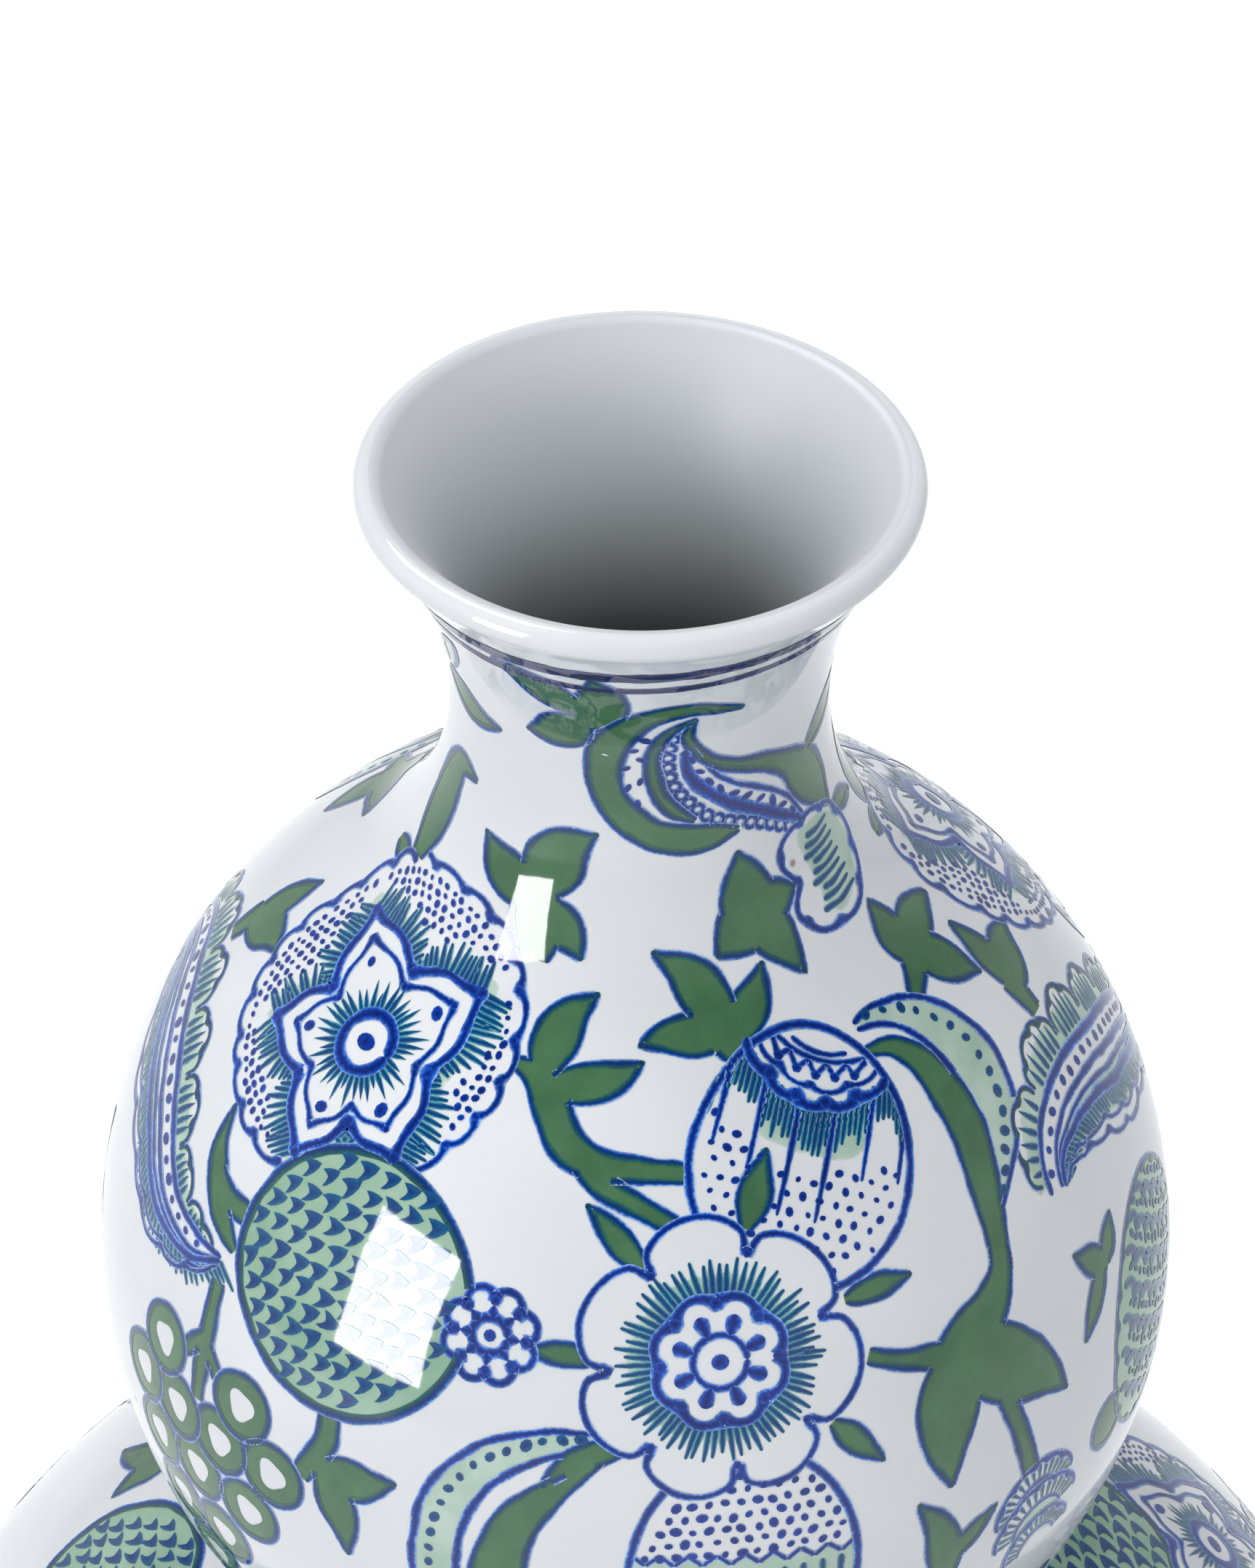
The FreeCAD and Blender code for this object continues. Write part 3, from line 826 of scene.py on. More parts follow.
# %% Skins of paint
WASH_LIFT = 0.03
GREEN_LIFT = 0.05
LINE_LIFT = 0.08
LONGEST_SIDE_MM = 6.0
ON_WHITE, BY_LEAF, ON_WASH, AT_RIM = 0, 1, 2, 3


class Skin:
    """The marks of one finish on one part of the vase, gathered before they are made."""

    def __init__(self, name, lift, materials):
        self.name, self.lift, self.materials = name, lift, materials
        self.points, self.facings, self.across, self.spread = [], [], [], []
        self.faces, self.finishes, self.count = [], [], 0

    def lay(self, theta, s, across, spread, faces, finish=0, above=0.0):
        if not faces:
            return
        points, facings = wall(theta, s)
        # where a paper would tear over a fold of the wall, the mark stops
        ring = np.array([list(face) + [face[0]] * (4 - len(face)) for face in faces])
        corners = points[ring]
        gaps = corners - np.roll(corners, -1, 1)
        up = np.cross(corners[:, 1] - corners[:, 0], corners[:, 2] - corners[:, 0])
        turned_out = (up * facings[ring[:, 0]]).sum(1) > 0
        whole = turned_out & ((gaps ** 2).sum(2).max(1) < LONGEST_SIDE_MM ** 2)
        faces = [face for face, kept in zip(faces, whole) if kept]
        self.points.append(points + facings * (self.lift + above))
        self.facings.append(facings)
        self.across.append(across)
        self.spread.append(spread)
        self.faces += [[k + self.count for k in face] for face in faces]
        self.finishes += [finish] * len(faces)
        self.count += len(points)

    def make(self):
        mesh = bpy.data.meshes.new(self.name)
        mesh.from_pydata((np.concatenate(self.points) * MM).tolist(), [], self.faces)
        mesh.shade_smooth()
        mesh.normals_split_custom_set_from_vertices(np.concatenate(self.facings).tolist())
        across = mesh.attributes.new("across", "FLOAT", "POINT")
        across.data.foreach_set("value", np.concatenate(self.across).astype(np.float32))
        corners = np.empty(len(mesh.loops), np.int32)
        mesh.loops.foreach_get("vertex_index", corners)
        layer = mesh.uv_layers.new(name="OFBake")
        layer.uv.foreach_set("vector", np.concatenate(self.spread)[corners].astype(np.float32).ravel())
        mesh.polygons.foreach_set("material_index", self.finishes)
        for material in self.materials:
            mesh.materials.append(material)
        piece = put(self.name, mesh)
        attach(piece, "root")
        return piece


PARTS = ("lower_gourd_base", "lower_gourd_top", "upper_gourd", "neck")
PART_ENDS = (tape_marks[1] / 2, tape_marks[2] - 4, tape_marks[3])


def skins_of(finish, lift, materials):
    """One skin of a finish for each part of the vase."""
    return {part: Skin(f"{part}_{finish}", lift, materials) for part in PARTS}


washes = skins_of("green_wash", WASH_LIFT, [green_wash])
fruits = skins_of("fruit_wash", WASH_LIFT, [fruit_wash])
greens = skins_of("green_enamel", GREEN_LIFT, [green])
lines = skins_of("cobalt_line", LINE_LIFT, line_paints)


def part_at(s):
    """Which part of the vase a tape reading belongs to."""
    return PARTS[int(np.searchsorted(PART_ENDS, s))]


print("skins for paint:", 4 * len(PARTS))


# %% [markdown]
# ## The hand
#
# Four gestures make the whole pattern: a pull of the brush, a touch of its tip, a stamped
# shape and an area filled in. A pull is never even, so its width and its path waver a
# little, by slow waves with seeded phases. A motif that is already painted is kept clear:
# what comes later passes behind it, as a painter stops at an outline.

# %% Waves and curves
hand = np.random.default_rng(11)
SWAY_MM = 0.16
SWAY_WAVE_MM = 17
PRESSURE = 0.13
PRESSURE_WAVE_MM = 9
# how far a touch's colour goes towards the pale edge of a line
TOUCH_EDGE = 0.73
# cobalt spreads past the hairs of the brush, and a wider stroke lies over a finer one
SPREAD = 1.42
FINE_MM = 0.9
BROAD_MM = 2.3
BROAD_EDGE = 0.13
STACK_SHARE = 0.012
TOUCH_LIFT = 0.035
# the lower gourd hardly shows, so the points of its lines stand wider apart
LOWER_STEP_TIMES = 1.3


def waver(along, wave_mm):
    """A slow uneven wave, about -1 to 1, along distances in millimetres."""
    phase = hand.uniform(0, 2 * math.pi, 3)
    stretch = hand.uniform(0.8, 1.25, 3)
    total = sum(np.sin(along * stretch[k] * (k + 1) * 2 * math.pi / wave_mm + phase[k]) / (k + 1)
                for k in range(3))
    return total / 1.6


def curve(points, closed=False, step=0.5):
    """Close points along a smooth curve through a few given ones."""
    p = np.asarray(points, float)
    if len(p) < 3:
        return p
    if closed:
        p = np.concatenate([p[-1:], p, p[:2]])
    else:
        p = np.concatenate([[2 * p[0] - p[1]], p, [2 * p[-1] - p[-2]]])
    made = []
    for a, b, c, d in zip(p, p[1:], p[2:], p[3:]):
        t = np.arange(0, 1, min(0.5, step / max(np.hypot(*(c - b)), 1e-6)))[:, None]
        made.append(0.5 * (2 * b + (c - a) * t + (2 * a - 5 * b + 4 * c - d) * t ** 2
                           + (3 * b - a - 3 * c + d) * t ** 3))
    made = np.concatenate(made)
    return np.concatenate([made, made[:1] if closed else p[-2:-1]])


def distances(path):
    """Distance along a path at each of its points."""
    return np.concatenate([[0], np.cumsum(np.hypot(*np.diff(path, axis=0).T))])


def sides(path):
    """Unit vectors to the left of a path at each of its points."""
    way = np.gradient(path, axis=0)
    way /= np.maximum(np.hypot(*way.T), 1e-9)[:, None]
    return np.stack([-way[:, 1], way[:, 0]], 1)


def spaced(path, step, tip=0.0):
    """The same path with points step apart, and closer ones in its round tips."""
    along = distances(path)
    total = along[-1]
    even = np.linspace(0, total, max(3, int(round(total / step)) + 1))
    if tip:
        near = [x * tip for x in (0.06, 0.25, 0.6) if x * tip < total / 2]
        even = np.unique(np.concatenate([even, near, total - np.array(near)]))
    return np.stack([np.interp(even, along, path[:, k]) for k in (0, 1)], 1)


def inside(points, outline):
    """Whether each flat point lies inside a closed outline."""
    x, y = points[:, :1], points[:, 1:]
    a, b = outline, np.roll(outline, -1, 0)
    spans = (a[:, 1] > y) != (b[:, 1] > y)
    rise_y = np.where(b[:, 1] == a[:, 1], 1e-12, b[:, 1] - a[:, 1])
    cross = x < (b[:, 0] - a[:, 0]) * (y - a[:, 1]) / rise_y + a[:, 0]
    return (spans & cross).sum(1) % 2 == 1


def edge_distance(points, outline):
    """Distance from each flat point to the nearest side of a closed outline."""
    a, b = outline, np.roll(outline, -1, 0)
    side = b - a
    t = ((points[:, None] - a) * side).sum(2) / np.maximum((side ** 2).sum(1), 1e-12)
    foot = a + np.clip(t, 0, 1)[..., None] * side
    return np.sqrt(((points[:, None] - foot) ** 2).sum(2)).min(1)


def within(points, outline, gap):
    """The points inside a closed outline that keep this gap to it."""
    points = points[inside(points, outline)]
    return points[edge_distance(points, outline) > gap]


def staggered(xs, ys, shift):
    """A grid of points with every second row shifted."""
    return np.array([(x + shift * (k % 2), y) for k, y in enumerate(ys) for x in xs]).reshape(-1, 2)


def oval(w, h, bearings):
    """Points of an oval about the origin, at bearings in degrees from the right."""
    a = np.radians(bearings)
    return np.stack([w * np.cos(a), h * np.sin(a)], -1)


def polar(radius, bearings):
    return oval(radius, radius, bearings)


def ring_points(radius, count=8, stretch=1.0):
    """A small closed oval."""
    return oval(radius * stretch, radius, np.linspace(0, 360, count, endpoint=False))


print("sway of a pull, mm:", SWAY_MM)


# %% Keeping painted motifs clear
painted = []


def round_from(theta, middle):
    """Angles measured from a middle one, between -180 and 180."""
    return (np.asarray(theta) - middle + 180) % 360 - 180


def box_of(around, s, middle):
    """The box of places on the map: its middle angle, half its width, and its two heights."""
    low, high = around.min(), around.max()
    return middle + (low + high) / 2, (high - low) / 2, s.min(), s.max()


def keep_clear(patch, outline):
    """Remembers a motif's outline, so that later marks pass behind it."""
    theta, s = patch.spots(outline)
    around = round_from(theta, patch.theta)
    painted.append((patch.theta, np.stack([around, s], 1), box_of(around, s, patch.theta)))


def nearby(theta, s, middle):
    """The painted motifs whose boxes on the map meet that of these places."""
    if not painted:
        return []
    centre, reach, low, high = box_of(round_from(theta, middle), s, middle)
    boxes = np.array([box for _, _, box in painted])
    beside = np.abs(round_from(boxes[:, 0], centre)) < boxes[:, 1] + reach
    level = (boxes[:, 2] < high) & (boxes[:, 3] > low)
    return [painted[k] for k in np.flatnonzero(beside & level)]


def covered(theta, s):
    """Whether places on the map lie behind a motif that is already painted."""
    behind = np.zeros(len(s), bool)
    for middle, outline, _ in nearby(theta, s, theta[0]):
        behind |= inside(np.stack([round_from(theta, middle), s], 1), outline)
    return behind


print("motifs painted so far:", len(painted))


# %% Pulls, touches and stamps
SHORTEST_PULL_MM = 0.2
SHORT_PULL_MM = 4
# a pull starts as a round tip, and its wavering grows from nothing over its first stretch
BLUNT = 0.02
QUIET_END_MM = 3


def pull(patch, path, width, finish=ON_WHITE, press=None, closed=False, sway=SWAY_MM, step=0.8,
         over=False):
    """One pull of the brush; press gives the width's share along it, from 0 to 1."""
    step *= 1.0 if patch.s > tape_marks[2] else LOWER_STEP_TIMES
    path = spaced(curve(path, closed), step, 0 if closed else width / 2)
    along = distances(path)
    total = along[-1]
    if total < SHORTEST_PULL_MM:
        return
    if closed:
        ends, fade = 1.0, np.sin(math.pi * np.clip(along / total, 0, 1))
    else:
        from_end = np.minimum(along, total - along)
        ends = np.sqrt(np.clip(from_end / (width / 2) + BLUNT, 0, 1))
        fade = np.clip(from_end / QUIET_END_MM, 0, 1)
    if total > SHORT_PULL_MM:
        path = path + sides(path) * (waver(along, SWAY_WAVE_MM) * sway * fade)[:, None]
    thick = SPREAD * (1 + PRESSURE * waver(along, PRESSURE_WAVE_MM) * fade)
    if press is not None:
        thick = thick * press(along / total)
    half = (width / 2 * thick * ends)[:, None] * sides(path)
    n = len(path)
    theta, s = patch.spots(np.concatenate([path + half, path, path - half]))
    shown = np.ones(n, bool) if over else ~covered(theta[n:2 * n], s[n:2 * n])
    faces = [(j, j + n, j + n + 1, j + 1) for k in range(n - 1) if shown[k] and shown[k + 1]
             for j in (k, k + n)]
    # the pale edge is as narrow on a broad stroke as on a fine one
    edge = np.interp(SPREAD * width, (FINE_MM, BROAD_MM), (0, BROAD_EDGE))
    across = np.repeat([edge, 0.5, 1 - edge], n)
    spread = np.stack([across, np.tile(along / total, 3)], 1)
    lines[part_at(patch.s)].lay(theta, s, across, spread, faces, finish, STACK_SHARE * width)


def stamps(patch, centres, shape, finish=ON_WHITE, turns=0.0, scales=1.0):
    """Small solid shapes; shape is a closed outline about the origin."""
    centres = np.atleast_2d(np.asarray(centres, float))
    if not centres.size:
        return
    count, sides_count = len(centres), len(shape)
    turns = np.radians(np.broadcast_to(turns, count))
    scales = np.broadcast_to(scales, count)
    c, d = np.cos(turns)[:, None], np.sin(turns)[:, None]
    rim = np.stack([c * shape[:, 0] - d * shape[:, 1], d * shape[:, 0] + c * shape[:, 1]], 2)
    rim = centres[:, None] + rim * scales[:, None, None]
    theta, s = patch.spots(np.concatenate([centres[:, None], rim], 1).reshape(-1, 2))
    hub = np.arange(count) * (sides_count + 1)
    faces = [(h, h + 1 + k, h + 1 + (k + 1) % sides_count)
             for h in hub[~covered(theta[hub], s[hub])] for k in range(sides_count)]
    across = np.tile([0.5] + [TOUCH_EDGE] * sides_count, count)
    spread = np.stack([across, np.full(len(across), 0.5)], 1)
    lines[part_at(patch.s)].lay(theta, s, across, spread, faces, finish, TOUCH_LIFT)


def touches(patch, centres, radius=0.55, finish=ON_WHITE, stretch=1.25):
    """Touches of the brush's tip, each a little different."""
    centres = np.atleast_2d(np.asarray(centres, float))
    if centres.size:
        centres = centres + hand.normal(0, 0.12, centres.shape)
        stamps(patch, centres, ring_points(radius, stretch=stretch), finish,
               hand.uniform(0, 180, len(centres)), hand.uniform(0.72, 1.2, len(centres)))


print("shortest pull, mm:", SHORTEST_PULL_MM)


# %% Areas
EDGE_MM = 0.9
GRID_MM = 2.4
SLOP_MM = 0.35
SLOP_WAVE_MM = 14


def fill(patch, outline, skins, slop=SLOP_MM, holes=(), grid=GRID_MM, merged=(), above=0.0):
    """An area of enamel inside a closed outline, a little careless at its edge."""
    outline = spaced(np.asarray(outline, float), 0.9)
    if np.allclose(outline[0], outline[-1], atol=1e-3):
        outline = outline[:-1]
    area = 0.5 * np.sum(outline[:, 0] * np.roll(outline[:, 1], -1)
                        - np.roll(outline[:, 0], -1) * outline[:, 1])
    if area < 0:
        outline = outline[::-1]
    along = distances(outline)
    away = -sides(outline)
    outline = outline + away * (slop * (0.35 + 0.65 * waver(along, SLOP_WAVE_MM)))[:, None]
    low, high = outline.min(0), outline.max(0)
    cuts = list(holes)
    for middle, shape, _ in nearby(*patch.spots(outline), patch.theta):
        cut = patch.flat(middle + shape[:, 0], shape[:, 1])
        if (cut.min(0) < high).all() and (cut.max(0) > low).all():
            cuts.append(cut)
    seeds = staggered(np.arange(low[0] + grid / 3, high[0], grid),
                      np.arange(low[1] + grid / 3, high[1], grid * 0.87), grid / 2)
    free = np.concatenate([within(seeds, outline, EDGE_MM + grid / 3),
                           within(outline - away * EDGE_MM, outline, 0.8 * EDGE_MM)])
    points, edges = [], []
    for loop in [outline] + cuts:
        start = len(points)
        points += [Vector(p) for p in loop]
        edges += [(start + k, start + (k + 1) % len(loop)) for k in range(len(loop))]
    points += [Vector(p) for p in free]
    found, _, triangles, *_ = delaunay_2d_cdt(points, edges, [], 0, 1e-4)
    found = np.array(found)
    triangles = np.array(triangles)
    centres = found[triangles].mean(1)
    shown = inside(centres, outline)
    for cut in cuts:
        shown &= ~inside(centres, cut)
    triangles = triangles[shown]
    if not len(triangles):
        return
    used, triangles = np.unique(triangles, return_inverse=True)
    found, triangles = found[used], triangles.reshape(-1, 3)
    theta, s = patch.spots(found)
    across = np.clip(edge_distance(found, outline) / EDGE_MM, 0, 1)
    # no edge shows where this area runs into another of the same sprig
    for middle, shape, _ in merged:
        across[inside(np.stack([round_from(theta, middle), s], 1), shape)] = 1
    spread = np.stack([(theta / 360) % 1, s / tape_marks[-1]], 1)
    skins[part_at(patch.s)].lay(theta, s, across, spread, triangles.tolist(), above=above)


print("edge of an area, mm:", EDGE_MM, "its grid, mm:", GRID_MM)


# %% [markdown]
# ## Leaves, stems and bands
#
# Most of the pattern is one gesture: two pulls of the brush that run side by side, with
# green laid between them. With widths that swell and close it is a leaf, with even ones a
# stem, and along a tight curve a crescent. So one function makes them all from a middle
# line and a few widths. Leaves and stems that meet are painted as one sprig: the green runs
# through, and only the outer sides of the outlines are drawn.
# Places are given on the map, and the whole layout can be stepped round the vase, because
# the pattern comes more than once.

# %% Places and brush pressure
LINE_MM = 0.9
LEAF_SWELL = (0.28, 0.7, 0.94, 0.95, 0.76, 0.42, 0.0)
# where leaves of one sprig run together, their greens lap by this much
LAP_MM = 0.8
LAP_LIFT = 0.003
# cobalt pools where a pull turns a corner: how far from it, how thick the line is there and
# elsewhere, and the blot on the corner itself
POOL_MM = 1.1
POOL_THICK = 1.5
REST_THICK = 0.84
BLOT = 0.72
layout = {"step": 0.0}


def place(theta, s, turn=0.0):
    """A patch at a place of the layout."""
    return Patch(theta + layout["step"], s, turn)


def laid_on(patch, points):
    """Places of the layout as flat points of a patch."""
    theta, s = np.array(points, float).T
    return patch.flat(theta + layout["step"], s)


def map_path(points, wrap=False):
    """A patch, and the flat path through places of the layout."""
    theta, s = np.array(points, float).T
    middle = (theta.min() + theta.max()) / 2 + layout["step"], (s.min() + s.max()) / 2
    patch = Girdle(*middle) if wrap else Patch(*middle)
    return patch, laid_on(patch, points)


def swell(t):
    """Brush pressure that grows to the middle of a pull."""
    return 0.75 + 0.42 * np.sin(math.pi * t)


def trail(t):
    """Brush pressure that fades to nothing."""
    return 1.1 - t ** 1.5


def dab(t):
    """Brush pressure that eases a little and ends blunt."""
    return 1.15 - 0.55 * t


def pooled(t):
    """Brush pressure that is heavy at both ends."""
    return 0.75 + 0.75 * np.abs(2 * t - 1) ** 3


print("line of leaves and stems, mm:", LINE_MM)


# %% Lines with corners, and short strokes
def cornered(patch, parts, width, finish=ON_WHITE, closed=True, sway=SWAY_MM, step=0.8):
    """One pull along parts that meet at corners, where the cobalt pools; returns its path."""
    path = np.concatenate([part[:-1] for part in parts] + ([] if closed else [parts[-1][-1:]]))
    lengths = np.cumsum([distances(part)[-1] for part in parts])
    total = lengths[-1]
    corners = lengths[:None if closed else -1]

    def press(t):
        off = np.abs(np.asarray(t)[:, None] * total - corners)
        near = np.minimum(off, total - off).min(1) if closed else off.min(1)
        return REST_THICK + (POOL_THICK - REST_THICK) * np.exp(-(near / POOL_MM) ** 2)

    pull(patch, path, width, finish, press, closed, sway, step)
    corner_points = [part[0] for part in parts[0 if closed else 1:]]
    stamps(patch, corner_points, ring_points(BLOT * width, 6), finish)
    return path


def dash(patch, start, end, width, finish=ON_WASH, press=trail, step=0.8):
    """One short straight stroke."""
    pull(patch, [start, end], width, finish, press, sway=0, step=step)


def border(patch, outline, width, finish=ON_WHITE):
    """Draws a motif's outline, and keeps what comes later behind it."""
    pull(patch, outline, width, finish, closed=True)
    keep_clear(patch, outline)


# %% Bands and leaves
def band_sides(middle, widths):
    """The left and right edge of a band along a flat middle line."""
    middle = spaced(curve(middle), 0.8)
    t = distances(middle) / distances(middle)[-1]
    known = curve(np.stack([np.linspace(0, 1, len(widths)), widths], 1), step=0.03)
    half = np.maximum(np.interp(t, known[:, 0], known[:, 1]), 0)[:, None] / 2 * sides(middle)
    return middle + half, middle - half


def closed_band(left, right):
    return np.concatenate([left, right[::-1]])


def leaf(base, tip, width, bend=0.0, wrap=False):
    """One leaf from its stalk to its tip; bend bows it to the left, as a share of its length."""
    patch, (start, end) = map_path([base, tip], wrap)
    way = end - start
    left = np.array([-way[1], way[0]])
    middle = [start, start + 0.33 * way + 0.8 * bend * left,
              start + 0.7 * way + 0.85 * bend * left, end]
    return patch, *band_sides(middle, np.multiply(LEAF_SWELL, width)), True


def stem(points, widths, wrap=False):
    """A stem or a crescent through places of the layout."""
    patch, middle = map_path(points, wrap)
    return patch, *band_sides(middle, widths), False


def marked(shapes, lap=0.0):
    """The shapes of a sprig as motifs to keep clear, each slimmer by a lap."""
    before = len(painted)
    for patch, left, right, _ in shapes:
        centre = (left + right) / 2
        width = np.hypot(*(left - right).T)[:, None]
        slim = np.clip(1 - lap / np.maximum(width, 0.1), 0.1, 1)
        keep_clear(patch, closed_band(centre + slim * (left - centre), centre + slim * (right - centre)))
    made = painted[before:]
    del painted[before:]
    return made


def sprig(*shapes, skins=None, finish=BY_LEAF):
    """Leaves and stems in one colour, outlined as one shape."""
    before = len(painted)
    # the slimmer copies hide a line only well inside a sibling, so that no gap shows beside it
    whole, slimmer = marked(shapes), marked(shapes, LAP_MM)
    for k, (patch, left, right, pointed) in enumerate(shapes):
        fill(patch, closed_band(left, right), skins or greens, merged=whole[:k] + whole[k + 1:],
             above=LAP_LIFT * k)
        painted.extend(slimmer[:k] + slimmer[k + 1:])
        if pointed:
            pull(patch, np.concatenate([left, right[-2::-1]]), LINE_MM, finish, swell)
            stamps(patch, [left[-1]], ring_points(0.62 * LINE_MM, 6), finish)
        else:
            pull(patch, left, LINE_MM, finish, swell)
            pull(patch, right[::-1], LINE_MM, finish, swell)
        del painted[before:]
    painted.extend(whole)


# %% Hatching and scallops
def comb(patch, path, spacing, length, width, lean=0.0, shares=(1.0, 1.0)):
    """Hatch marks on the left of a path; shares shorten them towards its two ends."""
    path = spaced(np.asarray(path, float), spacing)
    out = sides(path)
    way = np.stack([out[:, 1], -out[:, 0]], 1)
    share = np.interp(np.linspace(0, 1, len(path)), (0, 0.4, 0.6, 1), (shares[0], 1, 1, shares[1]))
    for k, reach in enumerate(length * share * hand.uniform(0.78, 1.15, len(path))):
        tilt = lean + hand.normal(0, 0.05)
        end = path[k] + reach * (out[k] + tilt * way[k])
        dash(patch, path[k], end, width, press=dab, step=max(reach / 2, 0.5))


def scallops(patch, path, length, bulge, width=1.0, finish=ON_WHITE, closed=True):
    """A row of small arcs that bow to the left of a path; returns the outline that they make."""
    path = spaced(np.asarray(path, float), 0.8)
    total = distances(path)[-1]
    count = max(2, round(total / length))
    cuts = np.linspace(0, total, count + 1)
    cuts[1:-1] += hand.uniform(-0.16, 0.16, count - 1) * length
    along = distances(path)
    outline = []
    for low, high in zip(cuts, cuts[1:]):
        at = np.linspace(low, high, 7)
        arc = np.stack([np.interp(at, along, path[:, k]) for k in (0, 1)], 1)
        arch = 1 - np.abs(np.linspace(-1, 1, 7)) ** 2.4
        outline.append(arc + sides(arc) * (bulge * hand.uniform(0.8, 1.15) * arch)[:, None])
    return cornered(patch, outline, width, finish, closed, sway=0.05)


def in_parts(path, count):
    """A path in so many even parts, each ending where the next begins."""
    size = (len(path) - 1) // count
    return [path[size * k:size * (k + 1) + 1] for k in range(count)]


def shrunk(path, back):
    """A path drawn back towards the origin by so many millimetres."""
    return path * (1 - back / np.hypot(*path.T))[:, None]


# %% [markdown]
# ## Star flower
#
# The largest bloom: an open star of five pointed petals in a heavy line, a second line
# inside it, an eye with rays, and a wide ruff round it all, combed next to the star and
# stippled out to a scalloped edge.

# %% Star flower
STAR_TIPS = (197, 133, 55, -35, -90)
STAR_REACH = (19.5, 22.5, 20.0, 19.6, 20.0)
STAR_NOTCH = 12.6
RUFF_DOT_ROWS = (1.7, 3.3, 4.9, 6.5, 8.1)


def star_sides(inset=0.0):
    """The sides of a star, each from a notch to a tip or back, the petal on its right."""
    made = []
    bearings = (STAR_TIPS[-1] + 360,) + STAR_TIPS + (STAR_TIPS[0] - 360,)
    for before, at, after, reach in zip(bearings, bearings[1:], bearings[2:], STAR_REACH):
        tip = polar(reach - 1.9 * inset, at)
        notches = [polar(STAR_NOTCH - inset, (at + other) / 2) for other in (before, after)]
        for start, end, bows in ((notches[0], tip, ((0.4, 0.1), (0.75, 0.03))),
                                 (tip, notches[1], ((0.25, 0.03), (0.6, 0.1)))):
            way = end - start
            left = np.array([-way[1], way[0]])
            made.append(curve([start] + [start + a * way + b * left for a, b in bows] + [end]))
    return made


def star_flower(theta, s, turn=0.0, radius=25.5):
    patch = place(theta, s, turn)
    star = star_sides()
    ring = np.linspace(180, -180, 121)
    rim = polar(radius + 2.4 * np.cos(np.radians(ring - 125)), ring) + (-1.2, 0.6)
    whole = np.concatenate([side[:-1] for side in star])
    # the wash goes down first, in a loose belt round the star
    belt = shrunk(whole, -5.6)
    fill(patch, shrunk(whole, -2.6), washes, 0.8, holes=[whole])
    for k, side in enumerate(star):
        notch_first = k % 2 == 0
        comb(patch, side, 0.95, 5.6, 0.84, shares=(0.3, 0.9) if notch_first else (0.9, 0.3))
    cornered(patch, star, 1.4)
    cornered(patch, star_sides(2.5), 0.9)
    for tip, length in zip(STAR_TIPS, STAR_REACH):
        touches(patch, polar(0.6 * length, tip), 1.0)
    pull(patch, polar(4.7, np.linspace(0, 360, 25)), 1.5, ON_WHITE, sway=0.05)
    for a in np.arange(0, 360, 9):
        end = polar(hand.uniform(8.0, 11.0), a + hand.normal(0, 1.5))
        dash(patch, polar(4.8, a), end, 0.85, step=2)
    stamps(patch, [(0, 0)], ring_points(1.35, 12, 1.3))
    for back in RUFF_DOT_ROWS:
        spots = spaced(shrunk(rim, back), 1.85)[:-1]
        touches(patch, spots[~inside(spots, belt)], 0.52)
    keep_clear(patch, scallops(patch, rim, 6.5, 1.2))


print("star petals:", len(STAR_TIPS), "rows of dots in the ruff:", len(RUFF_DOT_ROWS))


# %% [markdown]
# ## Scaled fruit and its little flower
#
# A round fruit under thin green wash, with rows of small hooked marks like scales, each one
# press of a loaded brush. A small double flower lies over its edge.

# %% Scaled fruit
SCALE_MARK = np.array([(-0.8, 0.35), (-0.45, -0.1), (-0.6, -0.8), (-1.2, -1.9), (-0.3, -1.6),
                       (0.7, -0.8), (1.5, 0.3), (1.8, 1.35), (0.6, 1.5), (-0.7, 1.4), (-1.8, 1.0)])


def scaled_fruit(theta, s, radius=21.0):
    patch = place(theta, s)
    ring = np.linspace(360, 0, 73)
    outline = polar(radius * (1 + 0.02 * np.cos(np.radians(2 * ring + 40))), ring)
    fill(patch, outline, fruits, 0.5)
    marks = staggered(np.arange(-radius, radius, 4.0), np.arange(-radius, radius, 3.5), 2.0)
    marks += hand.normal(0, 0.22, marks.shape)
    marks = marks[np.hypot(*marks.T) < radius - 1.4]
    stamps(patch, marks, SCALE_MARK, ON_WASH, hand.normal(-4, 9, len(marks)),
           hand.uniform(0.88, 1.08, len(marks)))
    border(patch, outline, 1.3, BY_LEAF)


def small_flower(theta, s, radius=7.4):
    """A double flower of eight petals, no bigger than a thumbnail."""
    patch = place(theta, s)
    ring = np.linspace(0, 360, 97)
    outline = polar(radius * (0.74 + 0.28 * np.sqrt(np.abs(np.sin(np.radians(4 * ring))))), ring)
    outline = outline[::-1]
    cornered(patch, in_parts(outline, 8), 1.2, sway=0, step=0.6)
    for a in np.arange(0, 360, 45):
        dash(patch, polar(0.38 * radius, a), polar(0.66 * radius, a), 1.6, ON_WHITE, step=0.6)
    pull(patch, polar(0.38 * radius, np.linspace(0, 360, 25)), 1.25, ON_WHITE, sway=0, step=0.5)
    stamps(patch, [(0, 0)], ring_points(1.0))
    keep_clear(patch, outline)


print("scale mark, mm:", *np.ptp(SCALE_MARK, 0))


# %% [markdown]
# ## Rosette
#
# Seven round white petals about a combed ring, a lobed heart and a dotted eye.

# %% Rosette
ROSETTE_NOTCHES = (71, 124, 180, 228, 276, 320, 377.6)


